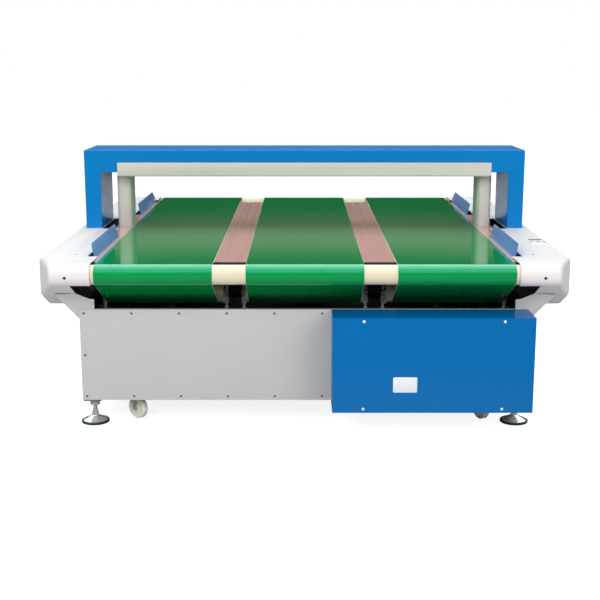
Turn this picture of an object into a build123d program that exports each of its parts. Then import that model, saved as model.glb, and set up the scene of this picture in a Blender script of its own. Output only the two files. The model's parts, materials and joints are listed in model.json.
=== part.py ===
from build123d import *
import math
import os

# Conveyor metal detector: three belts side by side run through one wide search portal.
# Origin on the floor under the middle of the machine, X across the belts, Y along their
# travel, Z up. All sizes in millimetres.

# Driving sizes
belt_height = 745.0          # belt top above the floor
roller_spacing = 2390.0      # front roller axis to rear drum axis
belt_width = 500.0
belt_gap = 140.0             # between neighbouring belts
belt_thickness = 2.5
roller_radius = 42.5
belt_clearance = 0.3         # running gap between a belt and a roller
lower_roller_run = 280.0     # end roller axis to lower roller axis, along Y
lower_roller_drop = 135.0    # and downwards
bed_gap_front = 62.0         # front roller axis to the bed board
bed_gap_rear = 230.0         # bed board to the rear drum axis
cabinet_side_reach = 91.0    # outer belt edge to the cabinet's side
cabinet_inset = 90.0         # end roller axes to the cabinet's end panels
cabinet_top_drop = 216.0     # belt top to the top of the cabinet
cabinet_floor_gap = 119.0    # floor to the cabinet
box_depth = 175.0            # control box, in front of the cabinet
box_left = 116.0
box_side_inset = 10.0        # control box to the cabinet's right side
portal_depth = 350.0
tunnel_height = 268.0        # belt top to the probe head
portal_height = 402.0        # belt top to the portal's top

# Running fits and gaps
shaft_fit = 0.05             # radial, shaft in its bearing
side_gap = 0.3               # between pieces that pass each other
overrun = 5.0                # how far a cutting solid runs past the piece it cuts

# Rollers
roller_wall = 4.0
roller_end_wall = 8.0
roller_end_reach = 36.0      # front roller and drum, past the outer belt edges
shaft_radius = 12.5
crown_chamfer = 1.5

# Belt positions
belt_pitch = belt_width + belt_gap
belt_side_names = ["left", "centre", "right"]
belt_centres = [-belt_pitch, 0, belt_pitch]
outer_belt_edge = belt_pitch + belt_width / 2
end_roller_half = outer_belt_edge + roller_end_reach

# Probe
probe_leg_gap = 8.0          # outer belt edge to the leg
probe_leg_width = 71.0
probe_leg_depth = 160.0
probe_leg_chamfer = 12.0
probe_leg_wall = 12.0
probe_head_height = 71.0
probe_head_reach = 60.0      # outer belt edge to the head's end
probe_leg_inner = outer_belt_edge + probe_leg_gap
probe_leg_outer = probe_leg_inner + probe_leg_width
probe_head_half = outer_belt_edge + probe_head_reach
probe_head_top = tunnel_height + probe_head_height
probe_head_chamfer = 6.0
probe_case_wall = 12.0
lower_probe_height = 110.0

# Portal
portal_leg_gap = 67.0        # probe leg to the portal's leg
portal_leg_width = 81.0
portal_end_rise = 21.0       # probe head's underside to the beam's, beyond the head
portal_wall = 2.0
portal_edge_round = 6.0
portal_leg_inner = probe_leg_outer + portal_leg_gap
portal_half_width = portal_leg_inner + portal_leg_width

# Cabinet
panel_sheet = 2.0
panel_return = 18.0
cabinet_half_width = outer_belt_edge + cabinet_side_reach
box_right = cabinet_half_width - box_side_inset

# Side covers
cover_nose_radius = 50.0     # round each end roller, a little more than the belt
cover_wall = 2.0
cover_belt_gap = 15.0        # outer belt edge to the cover, at the noses
cover_guard_reach = 60.0     # outer belt edge to the cover, beside the guards
cover_portal_gap = 2.0       # opening under the portal to the portal's leg
cover_floor_reach = 14.0     # cabinet side to the inner edge of the slanted underside
cover_side_reach = 41.0      # portal to the outer side
cover_lip_run = 215.0        # end of the cover to where the plate steps back for the guard
cover_bevel_width = 82.0     # corner bevels
cover_bevel_run = 200.0
cover_edge_round = 20.0
portal_opening_margin = 15.0
cover_inner_edge = outer_belt_edge + cover_belt_gap
cover_guard_edge = outer_belt_edge + cover_guard_reach
cover_portal_edge = portal_leg_inner - cover_portal_gap
cover_floor_edge = cabinet_half_width + cover_floor_reach
cover_half_width = portal_half_width + cover_side_reach
cover_bevel_half = cover_half_width - cover_bevel_width

# Side plates and bearings
plate_thickness = 8.0
plate_radius = 40.0
plate_lug_radius = 34.0
plate_lug_rise = 60.0
bearing_width = 22.0
bearing_flange = 7.5
bearing_radius = 30.0
bearing_ear_radius = 11.0
bearing_ear_spacing = 66.0
bearing_bolt_radius = 4.0
bearing_bolt_head = 6.0
shaft_hole_gap = 4.0
plate_inner = cabinet_half_width - panel_sheet

# Bed board and its rails
bed_reach = 25.0             # outer belt edge to the board's edge
bed_thickness = 20.0
bed_side_gap = 4.0           # the board's wide middle to the side plates
rail_width = 40.0
rail_height = 40.0
tube_wall = 3.0
bed_rail_shares = [0.046, 0.30, 0.665, 0.867]   # along the roller spacing
bed_half_width = outer_belt_edge + bed_reach

# Guards
guard_height = 57.6
guard_gap = 2.0              # bed board to the guard
guard_lean = 17.5
guard_sheet = 2.0
guard_front_start = 170.0    # front roller axis to the guard
guard_front_end = 800.0
guard_corner = 22.0
guard_foot_x = bed_half_width + guard_gap

# Base frame
tube = 40.0
frame_lift = 2.0             # the panels reach this far below the frame
caster_rail_lift = 20.0
floor_caster_gap = 60.0      # caster's swivel axis to the cabinet's floor sheets
mid_post_shares = [0.36, 0.64]
pillar_shares = [0.21, 0.37, 0.63, 0.79]
pillar_top_drop = 60.0

# Skirts, gussets and panel screws
skirt_reach = 104.0          # cabinet side to the skirt's upper edge
skirt_start_drop = 42.0      # cabinet top to where the skirt leaves the cabinet
skirt_rise = 108.0
gusset_step_inset = 46.0     # cabinet side to the gusset's low step
gusset_inner_inset = 67.0
gusset_step_drop = 25.0
screw_pitch = 207.4
screw_side_inset = 19.5
screw_edge_inset = 18.0
screw_head_radius = 5.0
screw_head_height = 2.2

# Control box
box_wall = 2.0
box_drop = 3.0               # the box hangs this far lower than the panel
box_screw_radius = 6.0
box_screw_height = 2.4
box_screw_top_inset = 14.0
box_screw_side_inset = 132.0
inverter_width = 150.0
inverter_depth = 130.0
inverter_inset = 214.0       # control box side to the inverter
inverter_rise = 110.0
inverter_top_gap = 80.0
fin_count = 9
fin_depth = 18.0

# Tension gear
carriage_reach = 25.0        # belt edge to the rods
outer_carriage_shift = 12.0  # outer carriages stand this far inboard of their belts
tension_roller_reach = 13.0
tension_shaft_radius = 10.0
tension_travel = 12.0
rod_radius = 5.0
rod_behind = 20.0            # rod behind the roller axis
rod_top_rise = 32.3          # roller axis to the rods' upper ends
rod_below_rail = 46.0
rod_hole_gap = 0.4
cheek_thickness = 5.0
cheek_front = 26.0
lug_width = 20.0
lug_height = 20.0
lug_top_drop = 23.7          # roller axis to the lug's top
nut_across = 17.0
nut_height = 8.0
bracket_thickness = 6.0
bracket_width = 60.0
outer_bracket_width = 20.0
bracket_below_axis = 12.0
bracket_gap = 1.0            # lugs slide past the bracket
bracket_cap = 4.0
rod_rail_thickness = 8.0
carriage_half = belt_width / 2 + carriage_reach
tension_roller_half = belt_width / 2 + tension_roller_reach

# Drive
chain_pitch = 12.7
chain_roller_radius = 4.2
chain_plate_half = 5.6
chain_plate_thickness = 1.4
chain_inner_half = 3.3
chain_links = 62
chain_solve_steps = 60
drum_teeth = 16
motor_teeth = 12
tooth_height = 3.2
tooth_mouth_radius = 5.9     # the tooth spaces widen outwards
tooth_mouth_shift = 3.2
sprocket_thickness = 5.0
sprocket_hub_length = 14.0
drum_hub_radius = 20.0
motor_hub_radius = 14.0
chain_plate_gap = 39.0       # side plate to the chain's middle
motor_slope = 9.0            # degrees, the motor lies lower than the drum
motor_shaft_radius = 8.0
motor_shaft_length = 34.0
gearbox_radius = 42.0
gearbox_length = 45.0
motor_radius = 38.0
motor_length = 70.0
motor_rib_count = 14
motor_rib_height = 3.0
motor_rib_width = 2.0
motor_plate_thickness = 6.0
chain_plane = plate_inner + plate_thickness + chain_plate_gap

# Casters
caster_side_inset = 202.0    # cabinet side to the swivel axis
caster_run = 120.0           # cabinet end panel to the swivel axis
caster_wheel_radius = 50.0
caster_wheel_width = 30.0
caster_tread_round = 5.0
caster_web_inset = 11.0
caster_hub_radius = 12.0
caster_ground_gap = 6.0      # the feet carry the machine, the wheels clear the floor
caster_trail = 34.0
caster_plate_length = 92.0
caster_plate_width = 70.0
caster_plate_thickness = 4.0
caster_race_radius = 27.0
caster_race_height = 10.0
caster_king_radius = 6.0
caster_fork_sheet = 3.5
caster_fork_gap = 2.0
caster_fork_half = 21.0
caster_eye_radius = 10.0
caster_axle_radius = 5.0
caster_bore_gap = 0.05
caster_nut_across = 16.0
caster_nut_height = 7.0
caster_turns = {"front_left": -38.0, "front_right": -62.0, "rear_left": 20.0, "rear_right": -35.0}
caster_x = cabinet_half_width - caster_side_inset

# Levelling feet
foot_side_inset = 42.0       # cabinet side to the foot's axis
foot_run = 60.0              # cabinet end panel to the foot's axis
foot_pad_radius = 62.0
foot_rim_height = 12.0
foot_rim_band = 7.0
foot_rim_chamfer = 2.3
foot_cone_top = 34.0
foot_hub_radius = 15.0
foot_hub_top = 46.0
foot_neck_radius = 11.0
foot_neck_top = 66.0
foot_stem_radius = 9.0
foot_stem_top = 190.0
foot_plate_thickness = 8.0
foot_plate_width = 80.0
foot_plate_run = 116.0
foot_hole_gap = 0.3
foot_nut_across = 38.0
foot_nut_height = 15.0
foot_nut_gap = 2.0
foot_x = cabinet_half_width - foot_side_inset

# Control panel on the right cover
console_inset = 61.0         # cover side to its middle
console_run = 575.0          # front roller axis to its middle
console_width = 80.0
console_length = 150.0
console_height = 4.0
console_round = 8.0
console_chamfer = 1.0
display_width = 64.0
display_length = 40.0
display_shift = 38.0
display_thickness = 1.2
key_radius = 9.0
key_spacing = 28.0
key_shift = -32.0
key_height = 3.0
key_round = 1.0
key_travel = 1.5
key_gap = 0.3
key_well_floor = 1.0
console_x = cover_half_width - console_inset

# Screws of the covers
cover_screw_inset = 13.0     # from the underside's inner edge
cover_screw_drop = 6.0       # nose screw below the roller axis
cover_screw_runs = [215.0, 900.0]

# Cable gland on the rear panel
gland_x = -760.0
gland_rise = 90.0
gland_radius = 14.0
gland_round = 4.6
gland_bore = 6.0
gland_hex = 34.0
gland_hex_length = 8.0
gland_length = 26.0
gland_shank_radius = 10.0
gland_shank_length = 12.0
gland_nut_length = 5.0
gland_hole_gap = 0.2

# Places that follow from the sizes
front_reach = box_depth - cabinet_inset + box_screw_height
machine_length = front_reach + roller_spacing + cover_nose_radius
front_y = front_reach - machine_length / 2
rear_y = front_y + roller_spacing
mid_y = (front_y + rear_y) / 2
roller_z = belt_height - belt_thickness - belt_clearance - roller_radius
lower_z = roller_z - lower_roller_drop
lower_front_y = front_y + lower_roller_run
lower_rear_y = rear_y - lower_roller_run
cabinet_front = front_y + cabinet_inset
cabinet_rear = rear_y - cabinet_inset
cabinet_top = belt_height - cabinet_top_drop
cabinet_bottom = cabinet_floor_gap
cover_top = roller_z + cover_nose_radius
bed_top = belt_height - belt_thickness
bed_bottom = bed_top - bed_thickness
frame_outer = cabinet_half_width - panel_sheet
frame_front = cabinet_front + panel_sheet
frame_rear = cabinet_rear - panel_sheet
frame_bottom = cabinet_bottom + frame_lift
frame_top = cabinet_top - panel_sheet
rod_rail_top = frame_top - tube
rod_y = lower_front_y + rod_behind
rod_top = lower_z + rod_top_rise
lug_top = lower_z - lug_top_drop
sides = [-1, 1]
axes = range(3)


def block(x, y, z):
    """A box between pairs of X, Y and Z places."""
    size = Box(x[1] - x[0], y[1] - y[0], z[1] - z[0], align=(Align.MIN, Align.MIN, Align.MIN))
    return Pos(x[0], y[0], z[0]) * size


def side_extrusion(face, x):
    """A face drawn in the YZ plane, run across the machine between two X places."""
    return extrude(Plane.YZ.offset(x[0]) * face, amount=x[1] - x[0])


def front_extrusion(face, y):
    """A face drawn in the XZ plane, run along the machine between two Y places."""
    return extrude(Plane.XZ.offset(-y[1]) * face, amount=y[1] - y[0])


def polygon(points):
    return make_face(Polyline(*points, close=True))


def hexagon(across):
    return RegularPolygon(across / 2, side_count=6, major_radius=False)


def rod_along_x(radius, x, y, z):
    return side_extrusion(Pos(y, z) * Circle(radius), x)


def tube_along(axis, low, high):
    """A square tube between two corners, open along its axis."""
    outer = block(*[(low[i], high[i]) for i in axes])
    inner_low = [low[i] + (-overrun if i == axis else tube_wall) for i in axes]
    inner_high = [high[i] + (overrun if i == axis else -tube_wall) for i in axes]
    return outer - block(*[(inner_low[i], inner_high[i]) for i in axes])


def other_side(shape):
    return mirror(shape, about=Plane.YZ)


def other_end(shape):
    return mirror(shape, about=Plane.XZ.offset(-mid_y))


def both_sides(shape):
    return [shape, other_side(shape)]


def four_corners(shape):
    return both_sides(shape) + both_sides(other_end(shape))


def write(node, *shapes):
    """Write one sub-part, as one solid or a group of separate solids."""
    solids = []
    for shape in shapes:
        solids.extend(shape.solids())
    export_step(Compound(children=solids), os.path.join("parts", node + ".step"))


def loop_face(radius):
    """The belts' path round the four rollers, grown by a radius."""
    corners = [
        (front_y, roller_z),
        (rear_y, roller_z),
        (lower_rear_y, lower_z),
        (lower_front_y, lower_z),
    ]
    return offset(polygon(corners), amount=radius, kind=Kind.ARC)


def stadium(start, end, radius):
    """Two discs and what lies between them."""
    run = end[0] - start[0]
    rise = end[1] - start[1]
    length = math.hypot(run, rise)
    across = (-rise / length * radius, run / length * radius)
    band = polygon([
        (start[0] + across[0], start[1] + across[1]),
        (end[0] + across[0], end[1] + across[1]),
        (end[0] - across[0], end[1] - across[1]),
        (start[0] - across[0], start[1] - across[1]),
    ])
    return band + Pos(*start) * Circle(radius) + Pos(*end) * Circle(radius)


# Belts, rollers and bearings

def belt(centre):
    loop = loop_face(roller_radius + belt_clearance + belt_thickness)
    loop = loop - loop_face(roller_radius + belt_clearance)
    return side_extrusion(loop, (centre - belt_width / 2, centre + belt_width / 2))


def roller(half_length, shaft_r, shaft_ends, y, z):
    """A tube with welded ends and a shaft through both."""
    inner = roller_radius - roller_wall
    start, end = -half_length, half_length
    profile = polygon([
        (shaft_ends[0], 0),
        (shaft_ends[0], shaft_r),
        (start, shaft_r),
        (start, roller_radius - crown_chamfer),
        (start + crown_chamfer, roller_radius),
        (end - crown_chamfer, roller_radius),
        (end, roller_radius - crown_chamfer),
        (end, shaft_r),
        (shaft_ends[1], shaft_r),
        (shaft_ends[1], 0),
    ])
    hollow = polygon([
        (start + roller_end_wall, shaft_r),
        (start + roller_end_wall, inner),
        (end - roller_end_wall, inner),
        (end - roller_end_wall, shaft_r),
    ])
    turned = revolve(Plane.XY * (profile - hollow), axis=Axis.X)
    return Pos(0, y, z) * turned


def bearing(y, z):
    """A two-bolt flange bearing on the outside of a side plate."""
    seat = plate_inner + plate_thickness
    flange_end = seat + bearing_flange
    body = rod_along_x(bearing_radius, (seat, seat + bearing_width), y, z)
    ears = stadium((y - bearing_ear_spacing / 2, z), (y + bearing_ear_spacing / 2, z), bearing_ear_radius)
    shape = body + side_extrusion(ears, (seat, flange_end))
    for side in sides:
        bolt_y = y + side * bearing_ear_spacing / 2
        shape += rod_along_x(bearing_bolt_radius, (flange_end, flange_end + bearing_bolt_head), bolt_y, z)
    bore = rod_along_x(shaft_radius + shaft_fit, (seat - overrun, seat + bearing_width + overrun), y, z)
    return shape - bore


def bearings():
    places = [(front_y, roller_z), (rear_y, roller_z), (lower_rear_y, lower_z)]
    shapes = []
    for y, z in places:
        shapes.extend(both_sides(bearing(y, z)))
    return shapes


def side_plate():
    """The plate that carries the roller bearings, with a lug down to the guide roller."""
    face = stadium((front_y, roller_z), (rear_y, roller_z), plate_radius)
    face += stadium((lower_rear_y, roller_z - plate_lug_rise), (lower_rear_y, lower_z), plate_lug_radius)
    for y, z in [(front_y, roller_z), (rear_y, roller_z), (lower_rear_y, lower_z)]:
        face -= Pos(y, z) * Circle(shaft_radius + shaft_hole_gap)
    return side_extrusion(face, (plate_inner, plate_inner + plate_thickness))


# Bed

def bed_board():
    """A laminate board, wider between the guards, where the probe's legs stand on it."""
    front = front_y + bed_gap_front
    rear = rear_y - bed_gap_rear
    board = block((-bed_half_width, bed_half_width), (front, rear), (bed_bottom, bed_top))
    wide = plate_inner - bed_side_gap
    start = front_y + guard_front_end + guard_gap
    middle = block((-wide, wide), (start, mid_y + mid_y - start), (bed_bottom, bed_top))
    return board + middle


def bracket_rail_y():
    """The rail that carries the tension brackets, just behind the rods."""
    return rod_y + lug_width / 2 + bracket_gap + bracket_thickness + rail_width / 2


def cross_rail(y):
    low = (-plate_inner, y - rail_width / 2, bed_bottom - rail_height)
    high = (plate_inner, y + rail_width / 2, bed_bottom)
    return tube_along(0, low, high)


def bed_rails():
    places = [front_y + share * roller_spacing for share in bed_rail_shares]
    places.append(bracket_rail_y())
    for side in sides:
        places.append(mid_y + side * (portal_depth + rail_width) / 2)
    return [cross_rail(y) for y in places]


# Probe and portal

def portal_outline(inset):
    """The portal seen from the front, drawn in by the inset."""
    floor = cover_top
    half = portal_half_width - inset
    leg = portal_leg_inner + inset
    head = probe_head_half - inset
    top = belt_height + portal_height - inset
    ends = belt_height + tunnel_height + portal_end_rise + inset
    middle = belt_height + probe_head_top + inset
    foot = floor - (overrun if inset else 0)
    right = [(half, foot), (half, top)]
    left = [(-half, top), (-half, foot)]
    inner_left = [(-leg, foot), (-leg, ends), (-head, ends), (-head, middle)]
    inner_right = [(head, middle), (head, ends), (leg, ends), (leg, foot)]
    return polygon(right + left + inner_left + inner_right)


def portal_cover():
    span = (mid_y - portal_depth / 2, mid_y + portal_depth / 2)
    inside = (span[0] + portal_wall, span[1] - portal_wall)
    outer = front_extrusion(portal_outline(0), span)
    long_edges = outer.edges().filter_by(Axis.Y)
    corners = [e for e in long_edges if abs(abs(e.center().X) - portal_half_width) < side_gap
               and e.center().Z > belt_height + probe_head_top]
    outer = fillet(corners, portal_edge_round)
    return outer - front_extrusion(portal_outline(portal_wall), inside)


def probe_head():
    span = (mid_y - portal_depth / 2, mid_y + portal_depth / 2)
    z = (belt_height + tunnel_height, belt_height + probe_head_top)
    head = block((-probe_head_half, probe_head_half), span, z)
    lower = head.edges().filter_by(Axis.X).group_by(Axis.Z)[0]
    head = chamfer(lower, probe_head_chamfer)
    wall = probe_case_wall
    inside = block(
        (-probe_head_half + wall, probe_head_half - wall),
        (span[0] + wall, span[1] - wall),
        (z[0] + wall, z[1] - wall),
    )
    return head - inside


def probe_leg():
    span = (mid_y - probe_leg_depth / 2, mid_y + probe_leg_depth / 2)
    leg = block((probe_leg_inner, probe_leg_outer), span, (bed_top, belt_height + tunnel_height))
    leg = chamfer(leg.edges().filter_by(Axis.Z), probe_leg_chamfer)
    wall = probe_leg_wall
    inside = block(
        (probe_leg_inner + wall, probe_leg_outer - wall),
        (span[0] + wall, span[1] - wall),
        (bed_top + wall, belt_height + tunnel_height - wall),
    )
    return leg - inside


def lower_probe():
    x = (-probe_leg_outer, probe_leg_outer)
    y = (mid_y - portal_depth / 2, mid_y + portal_depth / 2)
    z = (bed_bottom - lower_probe_height, bed_bottom)
    outer = block(x, y, z)
    outer = chamfer(outer.edges().filter_by(Axis.X).group_by(Axis.Z)[0], probe_head_chamfer)
    wall = probe_case_wall
    inside = block((x[0] + wall, x[1] - wall), (y[0] + wall, y[1] - wall), (z[0] + wall, z[1] - wall))
    return outer - inside


def guard():
    """A bent sheet: a lip that leans away from the belt, and a foot under the cover."""
    low = bed_bottom
    top = belt_height + guard_height
    face = polygon([
        (guard_foot_x, belt_height),
        (guard_foot_x, low),
        (plate_inner, low),
        (plate_inner, low + guard_sheet),
        (guard_foot_x + guard_sheet, low + guard_sheet),
        (guard_foot_x + guard_sheet, belt_height),
        (guard_foot_x + guard_lean + guard_sheet, top),
        (guard_foot_x + guard_lean, top),
    ])
    start = front_y + guard_front_start
    end = front_y + guard_front_end
    sheet = front_extrusion(face, (start, end))
    corner = polygon([
        (start - overrun, top - guard_corner),
        (start, top - guard_corner),
        (start + guard_corner, top),
        (start + guard_corner, top + overrun),
        (start - overrun, top + overrun),
    ])
    return sheet - side_extrusion(corner, (guard_foot_x - overrun, plate_inner + overrun))


# Side covers

def cover_form(inset):
    """The whole outer form of the right cover, drawn in by the inset."""
    inner = cover_inner_edge - (overrun if inset else 0)
    half = cover_half_width - inset
    bevel = cover_bevel_half - inset
    front = front_y - cover_nose_radius + inset
    rear = rear_y + cover_nose_radius - inset
    run = cover_bevel_run
    body = side_extrusion(loop_face(cover_nose_radius - inset), (inner, half))
    plan = polygon([
        (inner, front),
        (bevel, front),
        (half, front + run),
        (half, rear - run),
        (bevel, rear),
        (inner, rear),
    ])
    low = lower_z - cover_nose_radius
    column = extrude(Pos(0, 0, low - overrun) * plan, amount=cover_top - low + overrun + overrun)
    form = body & column
    edges = [e for e in form.edges() if min(v.X for v in e.vertices()) > bevel - side_gap]
    return fillet(edges, cover_edge_round - inset)


def cover():
    shell = cover_form(0) - cover_form(cover_wall)
    front = front_y - cover_nose_radius
    rear = rear_y + cover_nose_radius
    lip = roller_z - cover_nose_radius * math.cos(math.atan2(lower_roller_drop, lower_roller_run))
    under = block(
        (cover_inner_edge - overrun, cover_floor_edge),
        (front - overrun, rear + overrun),
        (lower_z - cover_nose_radius - overrun, lip),
    )
    z = (roller_z, cover_top + overrun)
    x0 = cover_inner_edge - overrun
    beside_guards = block((x0, cover_guard_edge), (front + cover_lip_run, rear - cover_lip_run), z)
    half = portal_depth / 2 + portal_opening_margin
    beside_portal = block((x0, cover_portal_edge), (mid_y - half, mid_y + half), z)
    return shell - under - beside_guards - beside_portal


# Base frame and cabinet

def share_y(share):
    return frame_front + share * (frame_rear - frame_front)


def frame_tubes():
    """Each tube of the frame: the axis that it runs along, and its X, Y and Z places."""
    x0, x1 = frame_outer - tube, frame_outer
    floor = (frame_bottom, frame_bottom + tube)
    roof = (frame_top - tube, frame_top)
    ends = [frame_front, frame_rear - tube]
    middles = [share_y(share) for share in mid_post_shares]
    tubes = []
    for z in [floor, roof]:
        for side in sides:
            tubes.append((1, sorted([side * x0, side * x1]), (frame_front, frame_rear), z))
        for y in ends:
            tubes.append((0, (-x0, x0), (y, y + tube), z))
    for y in middles:
        tubes.append((0, (-x0, x0), (y, y + tube), floor))
    for y in ends + middles:
        for side in sides:
            tubes.append((2, sorted([side * x0, side * x1]), (y, y + tube), (floor[1], roof[0])))
    crossings = sorted(ends + middles)
    rail_z = (frame_bottom + caster_rail_lift, frame_bottom + caster_rail_lift + tube)
    for side in sides:
        xs = (side * caster_x - tube / 2, side * caster_x + tube / 2)
        for start, end in zip(crossings, crossings[1:]):
            tubes.append((1, xs, (start + tube, end), rail_z))
    for share in pillar_shares:
        y = share_y(share)
        for side in sides:
            z = (frame_top, belt_height - pillar_top_drop)
            tubes.append((2, sorted([side * x0, side * x1]), (y, y + tube), z))
    return tubes


def floor_sheets():
    """The cabinet's floor under the frame, in three sheets that leave room for the casters."""
    split = caster_x - floor_caster_gap
    z = (cabinet_bottom, frame_bottom)
    reach = caster_run + floor_caster_gap
    side_sheet = block((split, frame_outer), (cabinet_front + reach, cabinet_rear - reach), z)
    return [block((-split, split), (frame_front, frame_rear), z)] + both_sides(side_sheet)


def base_frame():
    """Square tubes set end to side, the floor, and a plate under each corner for the feet."""
    shapes = floor_sheets()
    for axis, x, y, z in frame_tubes():
        low, high = zip(x, y, z)
        shapes.append(tube_along(axis, low, high))
    for side in sides:
        xs = (side * foot_x - foot_plate_width / 2, side * foot_x + foot_plate_width / 2)
        for y in [(frame_front, frame_front + foot_plate_run), (frame_rear - foot_plate_run, frame_rear)]:
            shapes.append(block(xs, y, (frame_bottom - foot_plate_thickness, frame_bottom)))
    hole = Cylinder(foot_stem_radius + foot_hole_gap, foot_stem_top + tube,
                    align=(Align.CENTER, Align.CENTER, Align.MIN))
    hole = Pos(foot_x, cabinet_front + foot_run, foot_neck_top) * hole
    for cut in four_corners(hole):
        shapes = [shape - cut for shape in shapes]
    return shapes


def screws(places, radius, height, front):
    """Round screw heads on a face that looks along -Y, or along +Y at the rear."""
    heads = []
    for x, z in places:
        y = (front - height, front) if height > 0 else (front, front - height)
        head = front_extrusion(Pos(x, z) * Circle(radius), y)
        tip = head.faces().sort_by(Axis.Y)[0 if height > 0 else -1]
        heads.append(fillet(tip.edges(), abs(height) / 2))
    return heads


def panel_screws():
    low = cabinet_bottom + screw_edge_inset
    high = cabinet_top - screw_edge_inset
    middle = (low + high) / 2
    start = -cabinet_half_width + screw_side_inset
    places = [(start, middle)]
    x = start
    while x < box_left - screw_side_inset:
        places.extend([(x, low), (x, high)])
        x += screw_pitch
    rear_count = round(-start / screw_pitch) + 1
    rear_places = [(start, middle), (-start, middle)]
    for i in range(rear_count):
        x = start - start / (rear_count - 1) * i * 2
        rear_places.extend([(x, low), (x, high)])
    heads = screws(places, screw_head_radius, screw_head_height, cabinet_front)
    heads += screws(rear_places, screw_head_radius, -screw_head_height, cabinet_rear)
    return heads


def end_panel():
    """A flat sheet with a return along its top."""
    sheet = block(
        (-cabinet_half_width, cabinet_half_width),
        (cabinet_front, cabinet_front + panel_sheet),
        (cabinet_bottom, cabinet_top),
    )
    edge = block(
        (-cabinet_half_width, cabinet_half_width),
        (cabinet_front, cabinet_front + panel_return),
        (cabinet_top - panel_sheet, cabinet_top),
    )
    return sheet + edge


def side_panel():
    """A side sheet, its skirt out to the cover, and a gusset in front and behind."""
    x = cabinet_half_width
    t = panel_sheet
    start_z = cabinet_top - skirt_start_drop
    end_z = start_z + skirt_rise
    span = (cabinet_front + t, cabinet_rear - t)
    face = polygon([
        (x, cabinet_bottom),
        (x, start_z),
        (x + skirt_reach, end_z),
        (x + skirt_reach - t, end_z + t),
        (x - t, start_z + t),
        (x - t, cabinet_bottom),
    ])
    sheet = front_extrusion(face, span)
    slope = lower_roller_drop / lower_roller_run
    under_nose = roller_z - cover_nose_radius * math.hypot(1, slope) - cabinet_inset * slope - side_gap
    step_z = under_nose - gusset_step_drop
    gusset_face = polygon([
        (x, start_z),
        (x + skirt_reach, end_z),
        (cover_floor_edge, under_nose - side_gap),
        (x - gusset_step_inset, step_z),
        (x - gusset_inner_inset, step_z - t),
        (x - gusset_inner_inset, cabinet_top + side_gap),
        (x, cabinet_top + side_gap),
    ])
    gusset = front_extrusion(gusset_face, (cabinet_front, cabinet_front + t))
    shape = sheet + gusset + other_end(gusset)
    form = cover_form(0) - block(
        (cover_inner_edge - overrun, cover_floor_edge - side_gap),
        (front_y - cover_nose_radius - overrun, rear_y + cover_nose_radius + overrun),
        (0, belt_height + cover_nose_radius),
    )
    return shape - form


def control_box():
    y = (cabinet_front - box_depth, cabinet_front)
    z = (cabinet_bottom - box_drop, cabinet_top)
    outer = block((box_left, box_right), y, z)
    outer = fillet(outer.edges().filter_by(Axis.Z).group_by(Axis.Y)[0], box_wall)
    inner = block(
        (box_left + box_wall, box_right - box_wall),
        (y[0] + box_wall, y[1] + overrun),
        (z[0] + box_wall, z[1] - box_wall),
    )
    return outer - inner


def control_box_screws():
    places = []
    for z in [cabinet_top - box_screw_top_inset, cabinet_bottom + box_screw_top_inset]:
        for x in [box_left + box_screw_side_inset, box_right - box_screw_side_inset]:
            places.append((x, z))
    return screws(places, box_screw_radius, box_screw_height, cabinet_front - box_depth)


def inverter():
    """The belt drive's inverter: a case with cooling fins against the cabinet."""
    x = (box_left + inverter_inset, box_left + inverter_inset + inverter_width)
    z = (cabinet_bottom + inverter_rise, cabinet_top - inverter_top_gap)
    case = block(x, (cabinet_front - inverter_depth, cabinet_front - fin_depth), z)
    pitch = inverter_width / (fin_count + fin_count - 1)
    for i in range(fin_count):
        start = x[0] + i * (pitch + pitch)
        case += block((start, start + pitch), (cabinet_front - fin_depth, cabinet_front), z)
    return case


# Tension gear

def carriage_centres():
    shift = outer_carriage_shift
    return [belt_centres[0] + shift, 0, belt_centres[2] - shift]


def rod_places():
    places = []
    for centre in carriage_centres():
        for side in sides:
            places.append(centre + side * carriage_half)
    return places


def tension_rods():
    """Threaded rods, each with a nut where it stands on its rail."""
    rods = []
    bottom = rod_rail_top - rod_below_rail
    for x in rod_places():
        rod = Cylinder(rod_radius, rod_top - bottom, align=(Align.CENTER, Align.CENTER, Align.MIN))
        nut = Pos(0, 0, rod_below_rail) * extrude(hexagon(nut_across), nut_height)
        rods.append(Pos(x, rod_y, bottom) * (rod + nut))
    return rods


def rod_foot_rail():
    """An angle bar across the cabinet, under its top rails, that the rods stand on."""
    z = rod_rail_top
    back = rod_y + tube / 2
    bar = block((-frame_outer, frame_outer), (rod_y - tube / 2, back), (z - rod_rail_thickness, z))
    lip = block((-frame_outer, frame_outer), (back - rod_rail_thickness, back), (z - tube, z))
    shape = bar + lip
    for x in rod_places():
        shape = shape - Pos(x, rod_y, z) * Cylinder(rod_radius, tube)
    return shape


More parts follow.
